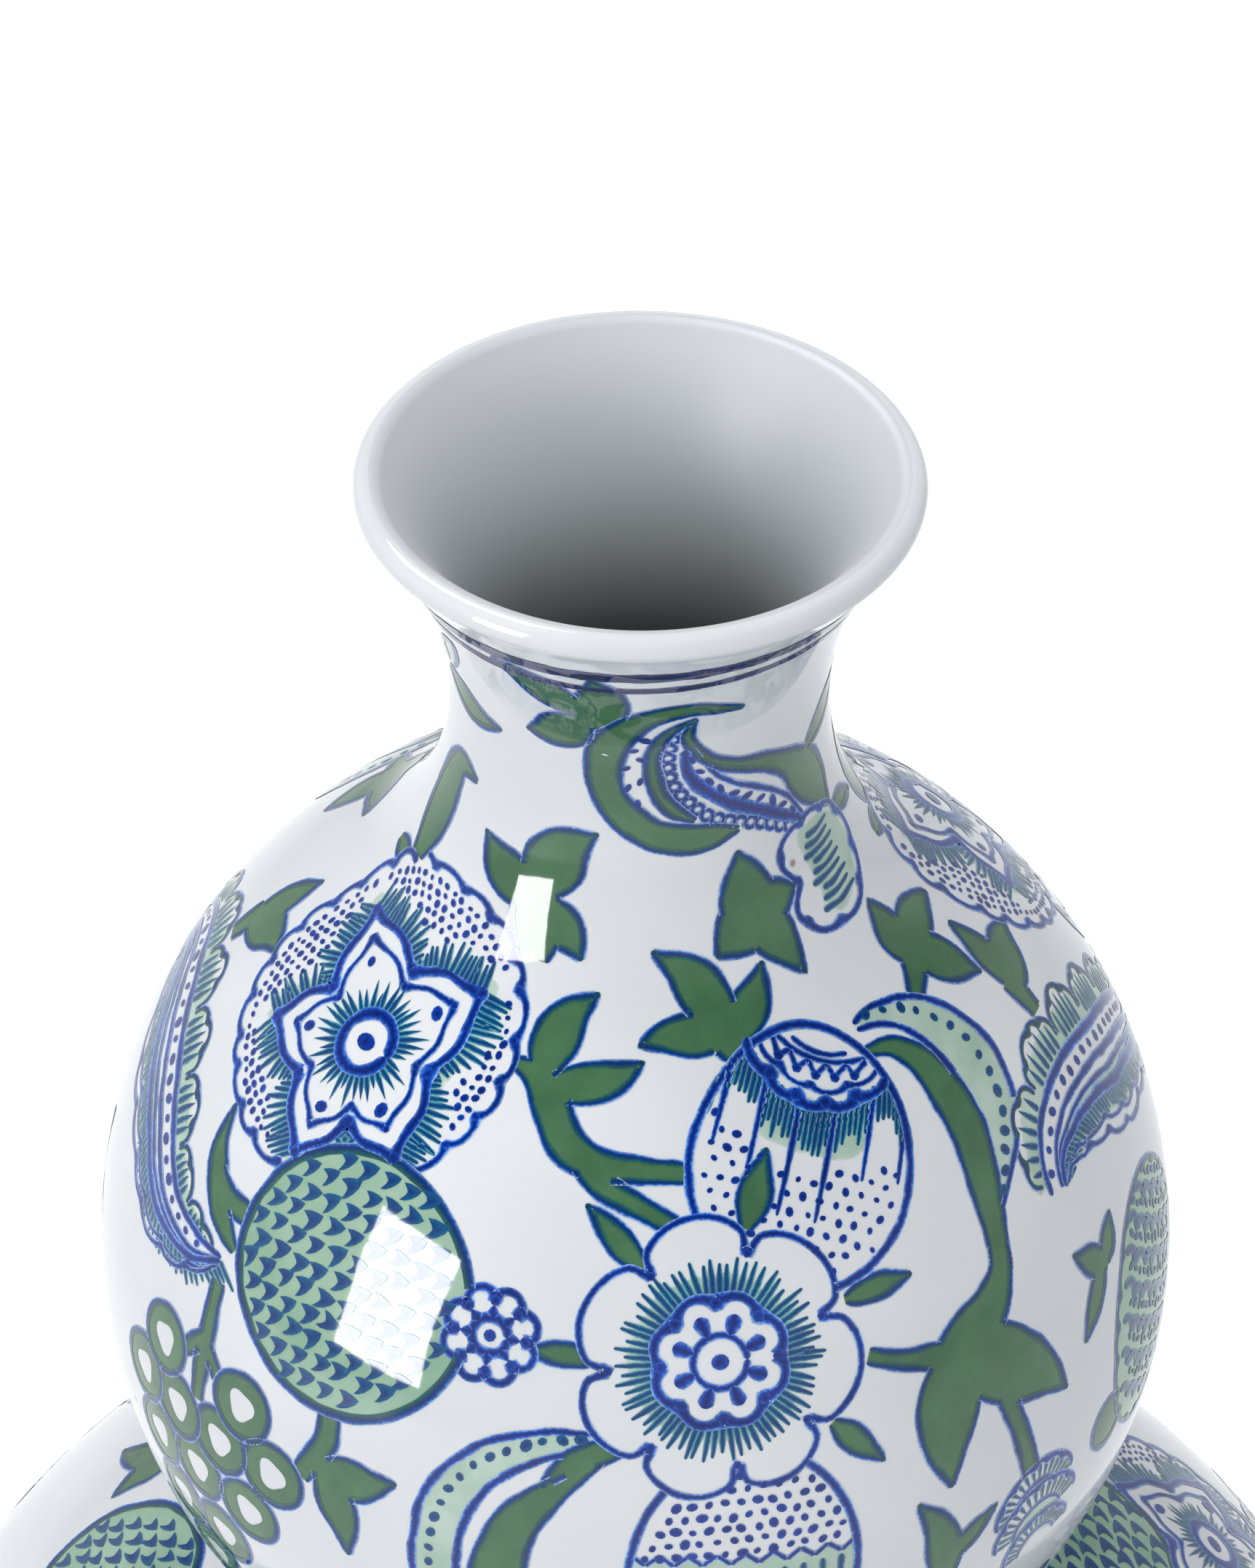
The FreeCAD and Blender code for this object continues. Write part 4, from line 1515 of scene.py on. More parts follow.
def rosette(theta, s, radius=22.3, turn=0.0):
    patch = place(theta, s, turn)
    outline = []
    for low, high in zip(ROSETTE_NOTCHES, ROSETTE_NOTCHES[1:] + (ROSETTE_NOTCHES[0] + 360,)):
        a = np.linspace(0, 1, 15)
        arch = np.sqrt(np.clip(1 - (2 * a - 1) ** 2, 0, 1))
        outline.append(polar(radius * (0.76 + 0.24 * arch), low + (high - low) * a))
    outline = cornered(patch, outline, 1.05, sway=0.1)
    ring = np.linspace(0, 360, 161)
    lobes = polar(10.4 * (1 - 0.13 * (1 - np.abs(np.sin(np.radians(4 * ring))))), ring)
    belt = polar(12.8 + 0.9 * np.sin(np.radians(ring - 60)), ring)
    fill(patch, belt, washes, 0.7, holes=[lobes[:-1]])
    comb(patch, polar(10.2, ring[::-1]), 0.95, 5.6, 0.84)
    cornered(patch, in_parts(lobes, 8), 1.4, sway=0, step=0.7)
    for a in np.arange(22, 382, 45):
        pull(patch, [polar(4.2, a), polar(5.8, a), polar(7.6, a)], 1.9, ON_WHITE,
             lambda t: 0.6 + 0.5 * t, sway=0, step=0.8)
    pull(patch, polar(4.15, np.linspace(0, 360, 31)), 0.95, ON_WHITE, sway=0, step=0.6)
    stamps(patch, [(0, 0)], ring_points(1.25, 12, 1.1))
    keep_clear(patch, outline[::-1])


print("rosette petals:", len(ROSETTE_NOTCHES))


# %% [markdown]
# ## Seed head
#
# A ripe pod with a ruffled crown: the body is stippled towards its stalk and hatched with
# long strokes that hang from the crown.

# %% Seed head
SEED_HEAD_HALVES = (17.5, 20.5)
# each line of the crown: half its length, its lowest height and the rise of its ends, as shares
CROWN_SHARES = (0.65, 0.42, 0.34)
FRILL_SHARES = (0.55, 0.54, 0.26)
JAG_SHARES = (0.44, 0.72, 0.12)
BRIM_SHARES = (0.26, 0.8, 0.06)
# bearings once round from the top, clockwise
FROM_TOP = np.linspace(90, -270, 73)


def pod_body(w, h, widening=0.0):
    """An oval of these half sizes that widens upwards by a share."""
    body = oval(w, h, FROM_TOP)
    body[:, 0] *= 1 + widening * np.sin(np.radians(FROM_TOP))
    return body


def seed_head(theta, s, turn=-30.0):
    patch = place(theta, s, turn)
    w, h = SEED_HEAD_HALVES
    body = pod_body(w, h, -0.1)

    def row(shares, count=31):
        half, low, rise_up = shares
        t = np.linspace(-1, 1, count)
        return np.stack([w * (half * t - 0.04), h * (low + rise_up * t ** 2)], 1)

    crown = row(CROWN_SHARES)
    fill(patch, oval(0.5 * w, 0.2 * h, FROM_TOP) + (0, 0.22 * h), washes, 0.8)
    dots = staggered(np.arange(-w, w, 2.6), np.arange(-h, 0.5 * h, 2.4), 1.3)
    dots = dots[dots[:, 1] < h * (-0.1 + 0.4 * (dots[:, 0] / w) ** 2)]
    touches(patch, within(dots, body, 1.5), 0.56)
    half, low, rise_up = CROWN_SHARES
    for k, x in enumerate(np.linspace(-0.93, 0.93, 41)):
        aside = (x + 0.04) / half
        top = h * (low + rise_up * aside ** 2 if abs(aside) < 1 else math.sqrt(1 - x * x) - 0.03)
        long_one = k % 7 == 3
        length = hand.uniform(*((0.72, 0.95) if long_one else (0.3, 0.46))) * h * (1 - 0.4 * x * x)
        dash(patch, (w * x, top), (w * x * 1.06, top - length), 0.9,
             ON_WHITE if long_one else ON_WASH, dab, 1.6)
    scallops(patch, crown, 5.2, -1.0, 1.5, closed=False)
    scallops(patch, row(FRILL_SHARES), 5.6, -0.9, 0.85, closed=False)
    jags = row(JAG_SHARES, 11) - np.outer(np.arange(11) % 2, (0, 2.0))
    for start, end in zip(jags, jags[1:]):
        dash(patch, start, end, 0.95, ON_WHITE, pooled, 0.7)
    stamps(patch, jags[1::2], ring_points(0.85, 6))
    for line in (row(JAG_SHARES) + (0, 0.5), row(BRIM_SHARES)):
        pull(patch, line, 0.8, ON_WHITE, sway=0.05)
    border(patch, body, 1.1)


print("seed head, mm:", *np.multiply(2, SEED_HEAD_HALVES))


# %% [markdown]
# ## Pods
#
# A half-hidden pod below the rosette is dotted above a zigzag and striped below. A ribbed
# one on the right has rows of dots between wavy ribs.

# %% Pods
RIBBED_POD_HALVES = (16.5, 21.0)


def striped_pod(theta, s, width=36.0, height=46.0, turn=0.0):
    patch = place(theta, s, turn)
    w, h = width / 2, height / 2
    body = pod_body(w, h)
    teeth = np.linspace(-0.97, 0.97, 17)
    zigzag = np.stack([w * teeth, 0.14 * h + 0.9 * (-1) ** np.arange(17) - 1.2 * teeth], 1)
    fill(patch, np.concatenate([zigzag, body[body[:, 1] < 0.1 * h]]), washes, 0.2)
    dots = staggered(np.arange(-w, w, 2.5), np.arange(0.2 * h, h, 2.3), 1.2)
    touches(patch, within(dots, body, 1.2), 0.7)
    for start, end in zip(zigzag, zigzag[1:]):
        dash(patch, start, end, 0.85, ON_WHITE, pooled)
    for x in np.linspace(-0.85, 0.85, 11):
        foot = (w * x * 0.8, -0.85 * h * math.sqrt(1 - 0.6 * x * x))
        pull(patch, [(w * x, 0.02 * h), (w * x * 0.97, -0.4 * h), foot], 0.8, ON_WASH, trail)
    border(patch, body, 1.1)


def ribbed_pod(theta, s, turn=-35.0):
    patch = place(theta, s, turn)
    w, h = RIBBED_POD_HALVES
    body = pod_body(w, h, 0.12)
    fill(patch, body, fruits, 0.5)
    for y in np.linspace(-0.78, 0.74, 7):
        x = np.linspace(-1, 1, 21) * 0.9 * math.sqrt(1 - y * y)
        row = np.stack([w * x * (1 + 0.12 * y), h * (y + 0.1 * x * x)], 1)
        scallops(patch, row, 4.2, 1.3, 1.35, ON_WASH, closed=False)
        spots = spaced(row, 2.2)[1:-1] + (0, 3.6)
        touches(patch, within(spots, body, 0), 0.6, ON_WASH, stretch=1.7)
    scallops(patch, body, 6.0, 0.5, 0.95, BY_LEAF)
    keep_clear(patch, body)


print("ribbed pod, mm:", *np.multiply(2, RIBBED_POD_HALVES))


# %% [markdown]
# ## Dotted crescents
#
# A pale crescent lies beside a green one: two close lines, then wash with one row of dots
# that follows the curve.

# %% Crescents
def dotted_crescent(points, widths, dot_side):
    """A washed crescent with a row of dots; dot_side moves the row off the middle, -1 to 1."""
    patch, left, right, _ = stem(points, widths)
    outline = closed_band(left, right)
    fill(patch, outline, washes, 0.25)
    centre = (left + right) / 2 + dot_side * ((left - right) / 2)
    touches(patch, within(spaced(centre, 3.1)[1:-1], outline, 0.7), 0.8, ON_WASH)
    for line in (left, right[::-1]):
        pull(patch, line, 1.0, ON_WHITE, swell)
    keep_clear(patch, outline)


# %% [markdown]
# ## Feather
#
# The long curling leaf that runs in from each side: a dotted midrib, a crest of hatched
# lobes above it, and below it a combed blade with a double, wavy edge.

# %% Feather
FEATHER_LOBES = 7


def feather(points, crest=8.4, blade=12.0):
    """A feathery leaf from its head to its tip, with the crest on the left."""
    patch, middle = map_path(points)
    middle = spaced(curve(middle), 0.8)
    t = distances(middle) / distances(middle)[-1]
    out = sides(middle)
    rib = np.interp(t, (0, 0.15, 0.6, 0.9, 1), (3.0, 4.6, 4.8, 3.4, 0.6))[:, None] / 2
    upper, lower = middle + out * rib, middle - out * rib
    crest_height = crest * np.interp(t, (0, 0.12, 0.35, 0.6, 0.9, 1), (0.35, 0.8, 1.0, 0.85, 0.35, 0.05))
    depth = blade * np.interp(t, (0, 0.15, 0.45, 0.8, 1), (0.15, 0.65, 1.0, 0.6, 0.0))
    blade_depth = out * depth[:, None]
    top = upper + out * crest_height[:, None]
    fill(patch, closed_band(upper, upper + 0.72 * (top - upper))[2:-2], washes, 0.3)
    edges = np.linspace(0.02, 0.97, FEATHER_LOBES + 1) ** 0.95
    for low, high in zip(edges, edges[1:]):
        part = (t >= low) & (t <= high)
        arch = np.sin(np.linspace(0, math.pi, part.sum())) ** 0.5
        lobe = upper[part] + out[part] * (crest_height[part] * (0.35 + 0.65 * arch))[:, None]
        scallops(patch, lobe, 5.2, 0.8, 0.85, BY_LEAF, closed=False)
        for k in range(2, part.sum() - 2, 2):
            foot = upper[part][k] + out[part][k] * 0.15 * crest_height[part][k]
            dash(patch, foot, lobe[k] - out[part][k] * 0.5, 1.0, step=1.6)
    pull(patch, upper, 1.2, ON_WHITE, swell)
    pull(patch, lower, 1.0, ON_WHITE, swell)
    touches(patch, spaced(middle, 3.4)[1:-2], 0.8)
    inner = lower - 0.42 * blade_depth
    fill(patch, closed_band(lower - 0.2 * blade_depth, lower - 0.78 * blade_depth), washes, 0.3)
    pull(patch, lower - 0.22 * blade_depth, 0.8, ON_WHITE, swell)
    pull(patch, inner, 1.3, ON_WHITE, swell)
    comb(patch, inner[::-1], 1.25, 0.36 * blade, 0.9, lean=-0.5)
    for share, width in ((0.78, 0.75), (1.0, 0.85)):
        scallops(patch, (lower - share * blade_depth)[::-1], 9.0, 1.0, width, closed=False)
    keep_clear(patch, closed_band(top, lower - blade_depth))


print("feather lobes:", FEATHER_LOBES)


# %% [markdown]
# ## Grapes and fan
#
# Each grape is a ring of green about a bare white light, outlined where it shows. The fan
# is a flower seen from its side, of overlapping hatched petals.

# %% Grapes and fan
GRAPE_RADIUS = 5.9
BERRY_RADIUS = 4.6


def grape(theta, s):
    patch = place(theta, s)
    ring = np.linspace(360, 0, 31)
    outline = polar(GRAPE_RADIUS * (1 + 0.04 * np.cos(np.radians(2 * ring + theta))), ring)
    light = polar(0.46 * GRAPE_RADIUS * (1 + 0.12 * np.sin(np.radians(3 * ring + 7 * theta))), ring)
    fill(patch, outline, greens, 0.4, holes=[light[-2::-1]], grid=2.0)
    border(patch, outline, 1.0, BY_LEAF)


def berry(theta, s):
    """A plain green berry."""
    patch = place(theta, s)
    outline = polar(BERRY_RADIUS, np.linspace(360, 0, 31))
    fill(patch, outline, greens, 0.3)
    border(patch, outline, 1.0, BY_LEAF)


# of each tier: the height of its base, half its width and its rise
FAN_TIERS = ((-6.0, 7.0, 7.0), (0.0, 9.0, 8.0), (5.5, 8.5, 7.5))


def fan(theta, s, turn=0.0, size=1.0):
    patch = place(theta, s, turn)
    for y, half, rise_up in FAN_TIERS:
        a = np.linspace(180, 0, 31)
        arch = (oval(half, rise_up, a) + (0, y)) * size
        inner = (oval(0.6 * half, 0.55 * rise_up, a) + (0, y)) * size
        fill(patch, inner, washes, 0.2)
        for start, end in zip(arch[1:30:2], inner[1:30:2]):
            dash(patch, start, end, 0.7, step=1.2)
        pull(patch, inner, 0.7, ON_WHITE, sway=0.1)
        scallops(patch, arch, 4.2, 0.55, 0.9, closed=False)
        keep_clear(patch, [*arch, (half * size, (y - 5) * size), (-half * size, (y - 5) * size)])


print("grape and berry, mm across:", 2 * GRAPE_RADIUS, 2 * BERRY_RADIUS, "fan tiers:", len(FAN_TIERS))


# %% [markdown]
# ## The layout of the upper gourd
#
# What lies in front is painted first and kept clear. The flowers and fruits come as the
# photograph shows them, each at its own place on the map, and then the leaves and stems
# that tie them together. The same set is stepped round to cover the back.

# %% Flowers and fruits
SET_STEP = 170.0


def upper_flowers():
    sprig(leaf((14.5, 378.0), (19.6, 389.0), 4.8))
    small_flower(-17.0, 361.0)
    scaled_fruit(-36.0, 361.0)
    star_flower(-50.4, 394.8)
    rosette(9.6, 358.6)
    seed_head(25.3, 386.6)
    striped_pod(11.4, 321.5)
    ribbed_pod(73.5, 327.0)
    fan(47.6, 308.0, 10)
    feather([(-110.5, 361), (-109.5, 365.5), (-106, 369.5), (-100, 371.5), (-93, 370.5), (-86, 367.5),
             (-80, 364), (-74.5, 359.8), (-70, 355.6), (-65.5, 352.6), (-60, 351.2), (-54, 352.6)])


print("the set comes again, degrees round:", SET_STEP)


# %% Leaves and stems of the upper gourd
GRAPES = ((-60, 332), (-46, 332.6), (-64, 322), (-56.5, 322.5), (-49, 323), (-41, 323.6),
          (-61, 311.8), (-53, 313.4), (-44.6, 312.6), (-58, 301.5), (-50, 301.6), (-54, 291.5))


def upper_leaves():
    # crescents to the right of the seed head, and the big leaf that they run into
    sprig(stem([(42.4, 397.6), (48, 395.6), (51.2, 389), (51, 379), (49, 370), (47.6, 362), (46.6, 357)],
               [1.2, 4.0, 6.2, 6.6, 6.0, 4.2, 4.0]),
          stem([(47.4, 361.4), (46.4, 357.4), (43.8, 353.6), (40.4, 350.4), (38.0, 346.4), (37.6, 340.6)],
               [3.6, 4.6, 7.4, 10.6, 11.6, 8.4]),
          leaf((38.4, 351.6), (34.8, 327.4), 11.6, -0.08), leaf((35.6, 350.0), (52.0, 331.8), 12.6, 0.05),
          stem([(26.8, 354.6), (30.5, 352.2), (35.5, 350.0)], [2.2, 2.6, 4.2]),
          stem([(42.0, 343.0), (43.8, 334), (45.4, 323.6), (46.4, 316)], [3.4, 3.0, 3.0, 3.4]))
    dotted_crescent([(43.4, 401.6), (50, 401), (56.4, 396.4), (59.2, 388), (57.6, 379), (53.4, 371.4),
                     (49.6, 365.6)], [1.0, 4.4, 8.4, 10.0, 8.6, 4.6, 0.6], dot_side=0.3)
    # branch from the star flower to the seed head
    sprig(leaf((-16.8, 400.6), (-9.0, 414.4), 7.0, 0.14), leaf((-16.0, 400.2), (0.8, 404.4), 6.4, -0.12),
          stem([(-22.8, 402.2), (-18.5, 401.0), (-14.4, 396.6), (-10.6, 391.2), (-4.0, 388.4), (9.4, 387.0)],
               [1.6, 4.8, 5.4, 4.2, 3.2, 2.6]),
          stem([(-10.4, 391.6), (-5.4, 386.0), (2.6, 381.2), (8.0, 377.6)], [3.0, 3.2, 2.8, 2.6]))
    # the sprig above the seed head
    sprig(leaf((18.2, 406.6), (0.8, 407.2), 6.4, -0.08), leaf((18.0, 406.4), (4.0, 421.0), 7.4, -0.12),
          leaf((17.9, 406.2), (29.8, 416.4), 6.0, -0.08), stem([(20.0, 404.4), (17.6, 408.4)], [5.0, 6.6]))
    # the blotched leaf high on the shoulder
    sprig(leaf((31.4, 419.6), (29.6, 434.4), 9.6), leaf((28.7, 423.7), (45.2, 425.4), 7.8),
          leaf((33.4, 424.7), (19.8, 419.4), 8.6), leaf((30.4, 426.4), (39.4, 412.9), 7.4))
    # the sprig to the right of the crescents
    sprig(leaf((65.6, 402.6), (65.9, 414.6), 7.4), leaf((65.2, 404.6), (82.9, 406.0), 7.4, 0.06),
          leaf((65.9, 405.2), (74.0, 393.2), 8.0),
          stem([(55.4, 396.6), (60.0, 400.2), (66.8, 404.4)], [1.4, 3.0, 6.4]))
    # the sprig over the star flower
    sprig(leaf((-28.1, 426.6), (-48.4, 433.4), 7.4, 0.08), leaf((-29.6, 426.6), (-12.6, 439.6), 9.4, 0.1),
          leaf((-28.8, 426.2), (-14.0, 419.6), 6.8, 0.08),
          stem([(-26.3, 417.8), (-26.6, 423.7), (-30.3, 428.5)], [5.4, 8.6, 6.6]))
    # stalks by the scaled fruit
    sprig(leaf((-52.4, 355.4), (-63.6, 372.8), 4.6, 0.16),
          stem([(-60.4, 364.6), (-56.6, 361.8), (-52.6, 361.6)], [1.0, 3.0, 3.4]))
    sprig(leaf((-35.4, 330.0), (-25.8, 332.6), 7.2, -0.08), leaf((-35.0, 331.0), (-31.0, 315.8), 6.6, 0.08),
          stem([(-34.2, 340.4), (-34.4, 334.6), (-37.2, 327.0)], [3.6, 3.6, 3.0]))
    # grapes and their stalk
    for theta, s in GRAPES:
        grape(theta, s)
    sprig(stem([(-53.2, 349.4), (-52.9, 341), (-53.0, 327.6)], [2.6, 3.2, 2.6]),
          stem([(-52.8, 339.4), (-56.6, 333.6)], [2.6, 2.2]),
          stem([(-53.0, 338.6), (-49.2, 333.2)], [2.6, 2.2]))
    # crescent and long leaf under the rosette
    sprig(leaf((-0.4, 346.0), (-9.6, 338.4), 4.2, -0.1),
          stem([(-3.4, 343.4), (-7.6, 338.6), (-12.0, 331.6), (-14.2, 321.0), (-13.4, 308.0), (-8.0, 294.0)],
               [0.6, 4.6, 7.4, 8.0, 7.0, 1.0]))
    dotted_crescent([(-1.4, 346.6), (-9.6, 345.2), (-16.6, 339.4), (-20.4, 329.6), (-20.6, 314.0),
                     (-16.6, 300.0)], [0.8, 4.6, 7.0, 7.4, 6.4, 0.8], dot_side=-0.25)
    # sprigs, berry and leaf at the right
    sprig(leaf((63.4, 343.6), (58.0, 350.4), 4.8), leaf((62.8, 344.0), (66.8, 350.0), 4.4),
          leaf((63.0, 345.6), (56.4, 336.2), 4.4))
    berry(60.0, 316.0)
    sprig(leaf((34.4, 306.0), (30.8, 326.0), 6.4, -0.1), leaf((33.4, 311.0), (40.6, 318.6), 4.2),
          stem([(33.0, 312.0), (34.6, 303.0), (38.6, 292.0)], [4.0, 6.4, 2.0]))
    # at the far left, and single leaves in the gaps
    sprig(leaf((-93.4, 385.4), (-80.6, 390.6), 8.0, 0.1), leaf((-92.2, 385.4), (-90.4, 400.4), 6.4),
          stem([(-93.6, 376.6), (-93.2, 382.0), (-92.6, 388.0)], [1.8, 3.4, 5.0]))
    for base, tip, width in (((1.2, 373.0), (-6.6, 382.4), 4.0), ((-4.2, 359.6), (-12.4, 359.8), 3.6),
                             ((25.4, 364.2), (34.2, 364.4), 3.8), ((21.6, 345.8), (26.8, 337.2), 4.0),
                             ((-83.8, 418.2), (-73.4, 417.8), 3.4), ((-26.0, 303.0), (-30.0, 290.0), 5.0)):
        sprig(leaf(base, tip, width))


print("grapes in the bunch:", len(GRAPES))


# %% [markdown]
# ## The neck
#
# Round the throat curls a big horned crescent: a green outer band, a dotted crescent inside
# it, a beaded one, and a long green leaf that sweeps off to the right. Above them two rings
# close the pattern under the white lip, one broad and one fine, turned on the wheel.

# %% Neck
# of each ring: its place on the map, its width and how far it rises and falls
RINGS = ((477.4, 2.3, -1.5), (472.6, 1.25, -1.3))


def neck_ring(s, width, tilt):
    """A band drawn with a still brush while the vase turns, not quite level."""
    girdle = Girdle(180, s)
    around = 2 * math.pi * girdle.radius
    x = np.linspace(0, around, 241)
    path = np.stack([x, tilt * np.sin(2 * math.pi * x / around)], 1)
    pull(girdle, path, width, AT_RIM, sway=0.0, step=1.2, over=True)


def horned_crescent():
    """The curl at the front of the throat, from its outer band to the leaf that leaves it."""
    sprig(stem([(29.5, 463.4), (15.0, 465.8), (3.0, 464.3), (-6.0, 459.8), (-10.0, 454.5), (-10.0, 449.2),
                (-5.5, 444.4), (2.5, 440.6), (11.0, 439.1), (21.0, 438.5), (31.0, 438.4)],
               [0.4, 2.2, 3.0, 4.2, 5.0, 5.0, 4.8, 4.8, 4.7, 4.2, 0.6], wrap=True))
    sprig(stem([(16.0, 463.2), (9.0, 460.8), (5.0, 457.4), (3.8, 453.0), (5.4, 448.2), (9.4, 444.8),
                (17.0, 441.8)], [0.5, 1.4, 1.6, 1.8, 2.0, 2.0, 0.5], wrap=True))
    for spots in ([(-1.5, 456.6), (-3.2, 452.8), (-3.0, 449.0), (0.0, 446.0)],
                  [(1.6, 459.0), (0.8, 454.6), (0.6, 450.4)]):
        patch, path = map_path(spots, wrap=True)
        touches(patch, path, 0.62, stretch=1.8)
    # white beads on a blue cord
    patch, beads = map_path([(13.4, 462.4), (10.4, 460.2), (8.4, 455.4), (9.2, 450.6), (12.2, 447.4),
                             (16.4, 444.6), (22.0, 441.9), (30.0, 439.8), (39.0, 437.8), (49.0, 434.6)],
                            wrap=True)
    for spot in spaced(curve(beads), 2.0)[1:]:
        pull(patch, spot + ring_points(0.95, 8), 0.75, ON_WHITE, sway=0, step=0.6, closed=True)
    # dashed band above it
    patch, dashes = map_path([(14.4, 456.4), (16.6, 452.6), (20.4, 449.4), (25.4, 446.8), (30.4, 444.8),
                              (40.0, 441.8), (48.0, 438.6), (55.0, 434.6)], wrap=True)
    left, right = band_sides(dashes, [1.0, 2.8, 3.2, 3.4, 3.4, 3.2, 2.6, 0.8])
    pull(patch, left, 0.8, ON_WHITE, swell)
    pull(patch, right, 1.6, ON_WHITE, swell)
    touches(patch, spaced(curve(dashes), 2.7)[1:-1], 0.6, stretch=1.9)
    sprig(leaf((60.0, 445.4), (92.0, 453.0), 5.0, 0.04, wrap=True),
          stem([(15.2, 463.0), (13.9, 458.8), (18.0, 454.8), (27.0, 451.2), (40.0, 448.8), (50.0, 446.0),
                (58.0, 442.0), (64.6, 437.4), (69.4, 432.0)],
               [0.5, 1.5, 1.8, 2.0, 2.8, 4.6, 7.4, 6.6, 0.8], wrap=True))


def bud():
    """A bud that opens to the left, striped towards its stalk."""
    patch, outline = map_path([(43.4, 430.4), (50.0, 433.2), (60.0, 433.6), (69.4, 431.2), (73.4, 426.4),
                               (71.0, 421.6), (65.4, 417.4), (57.0, 416.0), (49.0, 417.4), (44.6, 420.6),
                               (47.4, 425.4)], wrap=True)
    outline = curve(outline, closed=True)
    clear = [(51.6, 431.8), (60.0, 432.6), (69.6, 430.2), (72.4, 426.2), (70.0, 422.0), (64.0, 418.2),
             (56.0, 417.4), (54.0, 422.0)]
    fill(patch, curve(laid_on(patch, clear), closed=True), washes, 0.5)
    for k, s in enumerate(np.arange(419.0, 432.5, 1.5)):
        stripe = [(51.5 + 1.4 * (k % 3), s), (58.0, s - 0.2), (66.0 - 1.2 * (k % 2), s + 0.2)]
        pull(patch, laid_on(patch, stripe), 0.8, ON_WASH, dab)
    scallops(patch, outline, 6.5, 0.7, 1.0)
    keep_clear(patch, outline)


def neck_pattern():
    bud()
    horned_crescent()
    # leaves between the horn and the rings
    sprig(leaf((-15.0, 464.6), (-37.6, 473.6), 7.2, -0.05), leaf((-14.6, 463.4), (-33.0, 457.2), 7.4, 0.1),
          leaf((-14.6, 461.6), (-11.4, 475.4), 8.2, -0.14),
          stem([(-17.0, 463.6), (-11.6, 462.2), (-7.7, 461.8)], [4.2, 2.8, 1.8]))
    # at the left
    sprig(leaf((-71.0, 457.4), (-45.0, 453.6), 5.2, -0.12))
    sprig(leaf((-67.2, 459.2), (-58.1, 467.3), 4.4, 0.1), skins=washes, finish=ON_WASH)
    sprig(stem([(-72.6, 420.4), (-73.2, 428.0), (-71.6, 435.0), (-66.0, 440.2), (-56.0, 440.0)],
               [3.2, 7.6, 7.4, 5.0, 0.4]))
    sprig(leaf((71.4, 430.6), (86.0, 428.0), 3.0))


print("rings round the neck:", len(RINGS))


# %% [markdown]
# ## The lower gourd
#
# The photograph shows only its shoulder, left and right: the same flowers and fruits, a
# little larger. So the lower gourd carries the same kinds in three steps round, in rows that
# are staggered so that no white gap is wider than on the upper gourd.

# %% Lower gourd
LOWER_STEP = 120.0
# of each sprig of three leaves: its place, the bearing of its first leaf, and its size
LOWER_SPRIGS = (
    (-69, 222, 110, 1.0), (-34, 229, 200, 0.9), (10, 227, 250, 0.95), (36, 228, 20, 0.9),
    (-50, 186, 300, 1.1), (-12, 178, 60, 1.2), (26, 186, 190, 1.0), (8, 146, 330, 1.1),
    (-30, 132, 120, 1.2), (-60, 122, 250, 1.1), (38, 116, 80, 1.2), (-8, 96, 210, 1.1),
    (22, 66, 20, 1.1), (-46, 60, 150, 1.2), (-20, 40, 280, 1.0), (48, 36, 120, 1.1), (4, 22, 200, 1.0))
# the same, for the underside of the upper gourd and its flanks
UPPER_GAPS = (
    (-150, 279, 60, 0.9), (-118, 282, 120, 0.9), (-84, 280, 40, 0.9), (-28, 276, 100, 0.9),
    (10, 274, 60, 0.8), (50, 278, 120, 0.9), (92, 280, 80, 0.9), (128, 276, 30, 0.9),
    (166, 280, 110, 0.9), (-96, 322, 75, 1.0), (103, 322, 100, 1.0))


def three_leaves(theta, s, bearing, size):
    """A sprig of three leaves on a short stalk, turned to a bearing."""
    def off(reach, turn):
        (x,), (y,) = place(theta, s).spots([polar(reach * size, bearing + turn)])
        return theta + float(round_from(x, theta + layout["step"])), y

    leaves = ((17, 0, 8.0, 0.08), (14, 58, 7.0, -0.08), (14, -62, 7.0, 0.08))
    stalk = stem([off(-12, 20), off(-5, 8), off(2.5, 0)], [2.6, 3.6, 5.6])
    sprig(*[leaf((theta, s), off(reach, turn), width * size, bend) for reach, turn, width, bend in leaves],
          stalk)


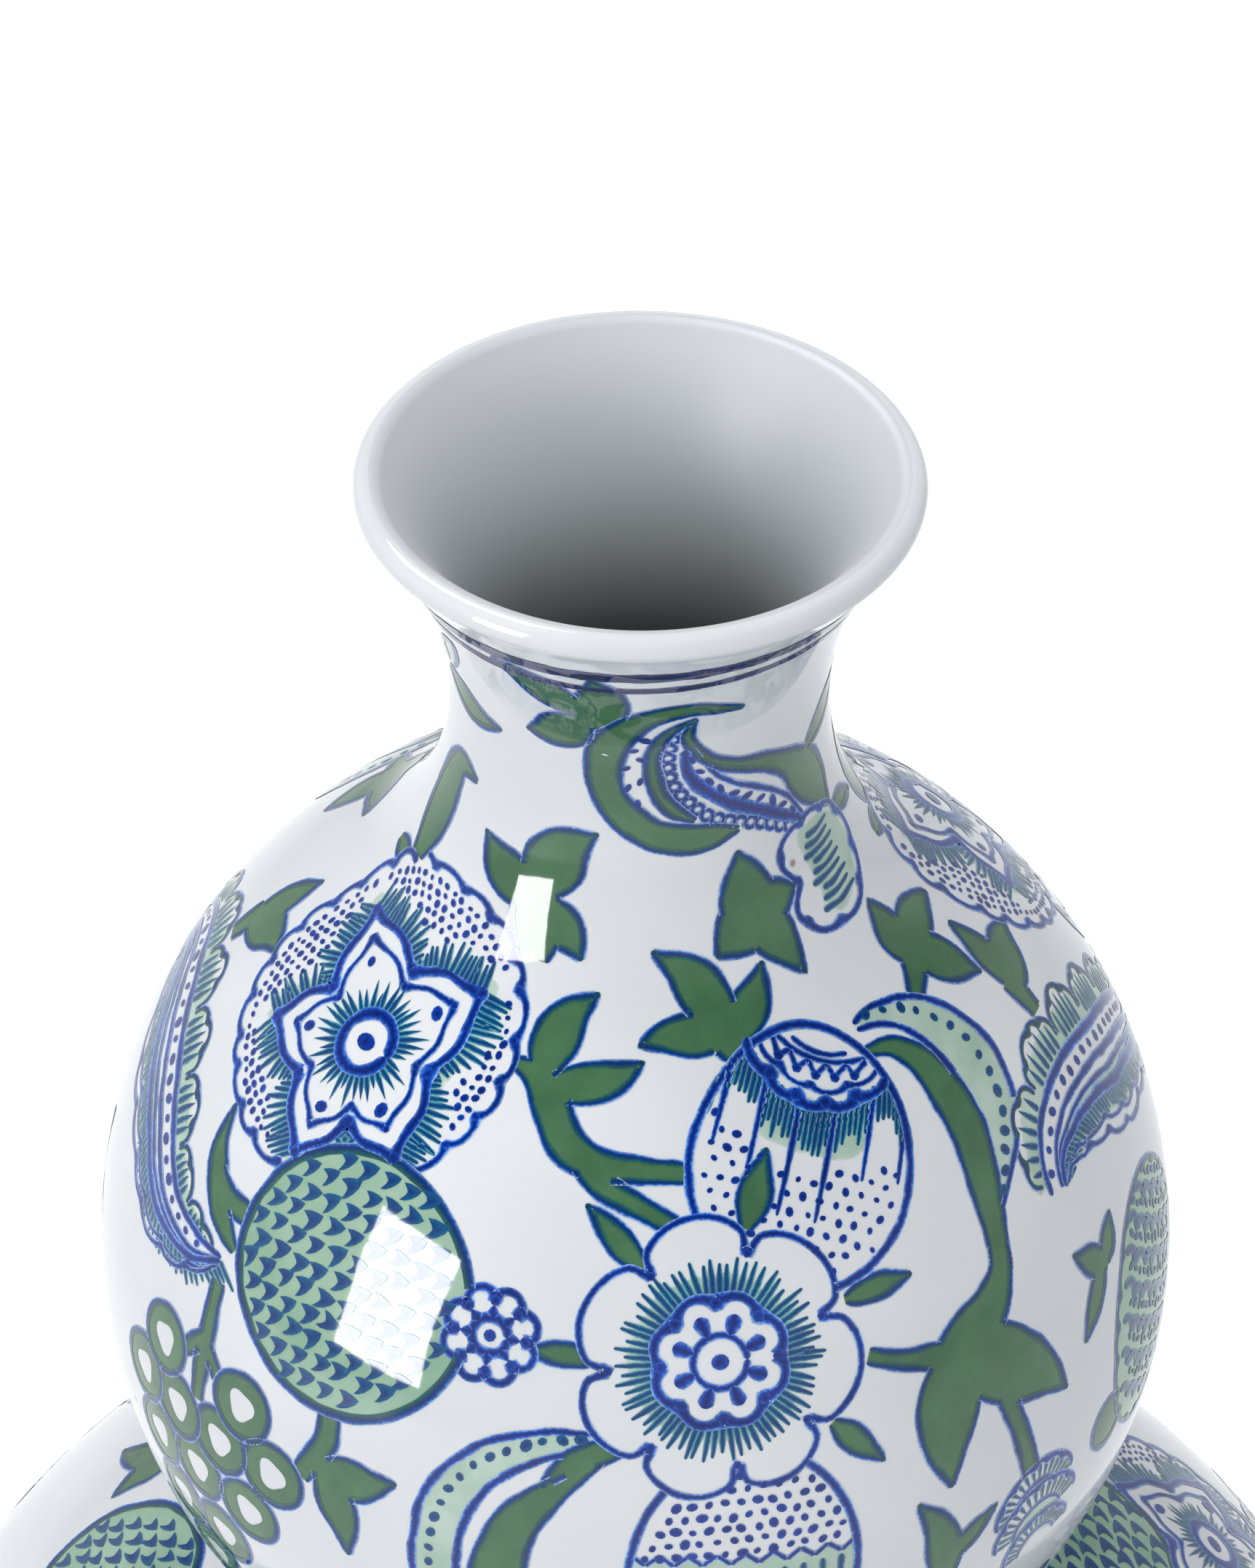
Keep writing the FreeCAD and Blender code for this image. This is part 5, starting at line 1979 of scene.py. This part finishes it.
def upper_gaps():
    for values in UPPER_GAPS:
        three_leaves(*values)


def lower_pattern():
    scaled_fruit(-26, 233, 17.0)
    star_flower(-18, 204, 20, 27.0)
    scaled_fruit(-46, 206, 19.0)
    scaled_fruit(31, 219, 19.0)
    ribbed_pod(56, 196, 30)
    seed_head(-2, 158, 15)
    striped_pod(-36, 160, 34, 42, -25)
    feather([(16, 150), (20, 160), (27, 166), (36, 167), (44, 163), (52, 156), (60, 152), (67, 153)],
            10.5, 13.0)
    small_flower(-17, 168, 8.4)
    rosette(-14, 118, 24.0)
    scaled_fruit(15, 122, 22.0)
    star_flower(44, 120, -30, 28.0)
    fan(-45, 112, 20, 1.35)
    seed_head(-34, 84, 170)
    striped_pod(8, 76, 36, 44, 160)
    feather([(30, 80), (24, 88), (18, 94), (10, 97), (2, 96), (-6, 92), (-14, 91)][::-1], 9.0, 10.0)
    star_flower(-10, 58, 100, 25.5)
    ribbed_pod(34, 64, 100)
    scaled_fruit(60, 66, 20.0)
    rosette(22, 32, 19.0, turn=40)
    small_flower(-30, 36, 8.4)
    scaled_fruit(-50, 30, 15.0)
    for values in LOWER_SPRIGS:
        three_leaves(*values)


print("sprigs of three leaves:", len(UPPER_GAPS) + 3 * len(LOWER_SPRIGS))


# %% Painting
# what is painted together, and the steps round the vase where it comes
PASSES = (
    ((neck_pattern, upper_flowers), (0.0, SET_STEP)),
    ((upper_leaves,), (0.0, SET_STEP)),
    ((upper_gaps,), (0.0,)),
    ((lower_pattern,), (0.0, LOWER_STEP, 2 * LOWER_STEP)))

for s, width, tilt in RINGS:
    neck_ring(s, width, tilt)
for painters, steps in PASSES:
    for layout["step"] in steps:
        for paint in painters:
            paint()

for skins in (washes, fruits, greens, lines):
    for part, skin in skins.items():
        if skin.count:
            piece = skin.make()
            print(piece.name, "faces", len(piece.data.polygons))


# %% [markdown]
# ## Last step
#
# The view layer is updated once more before the frame is closed. The visual model has to
# stay in the solid model's box.

# %% Last update
bpy.context.view_layer.update()
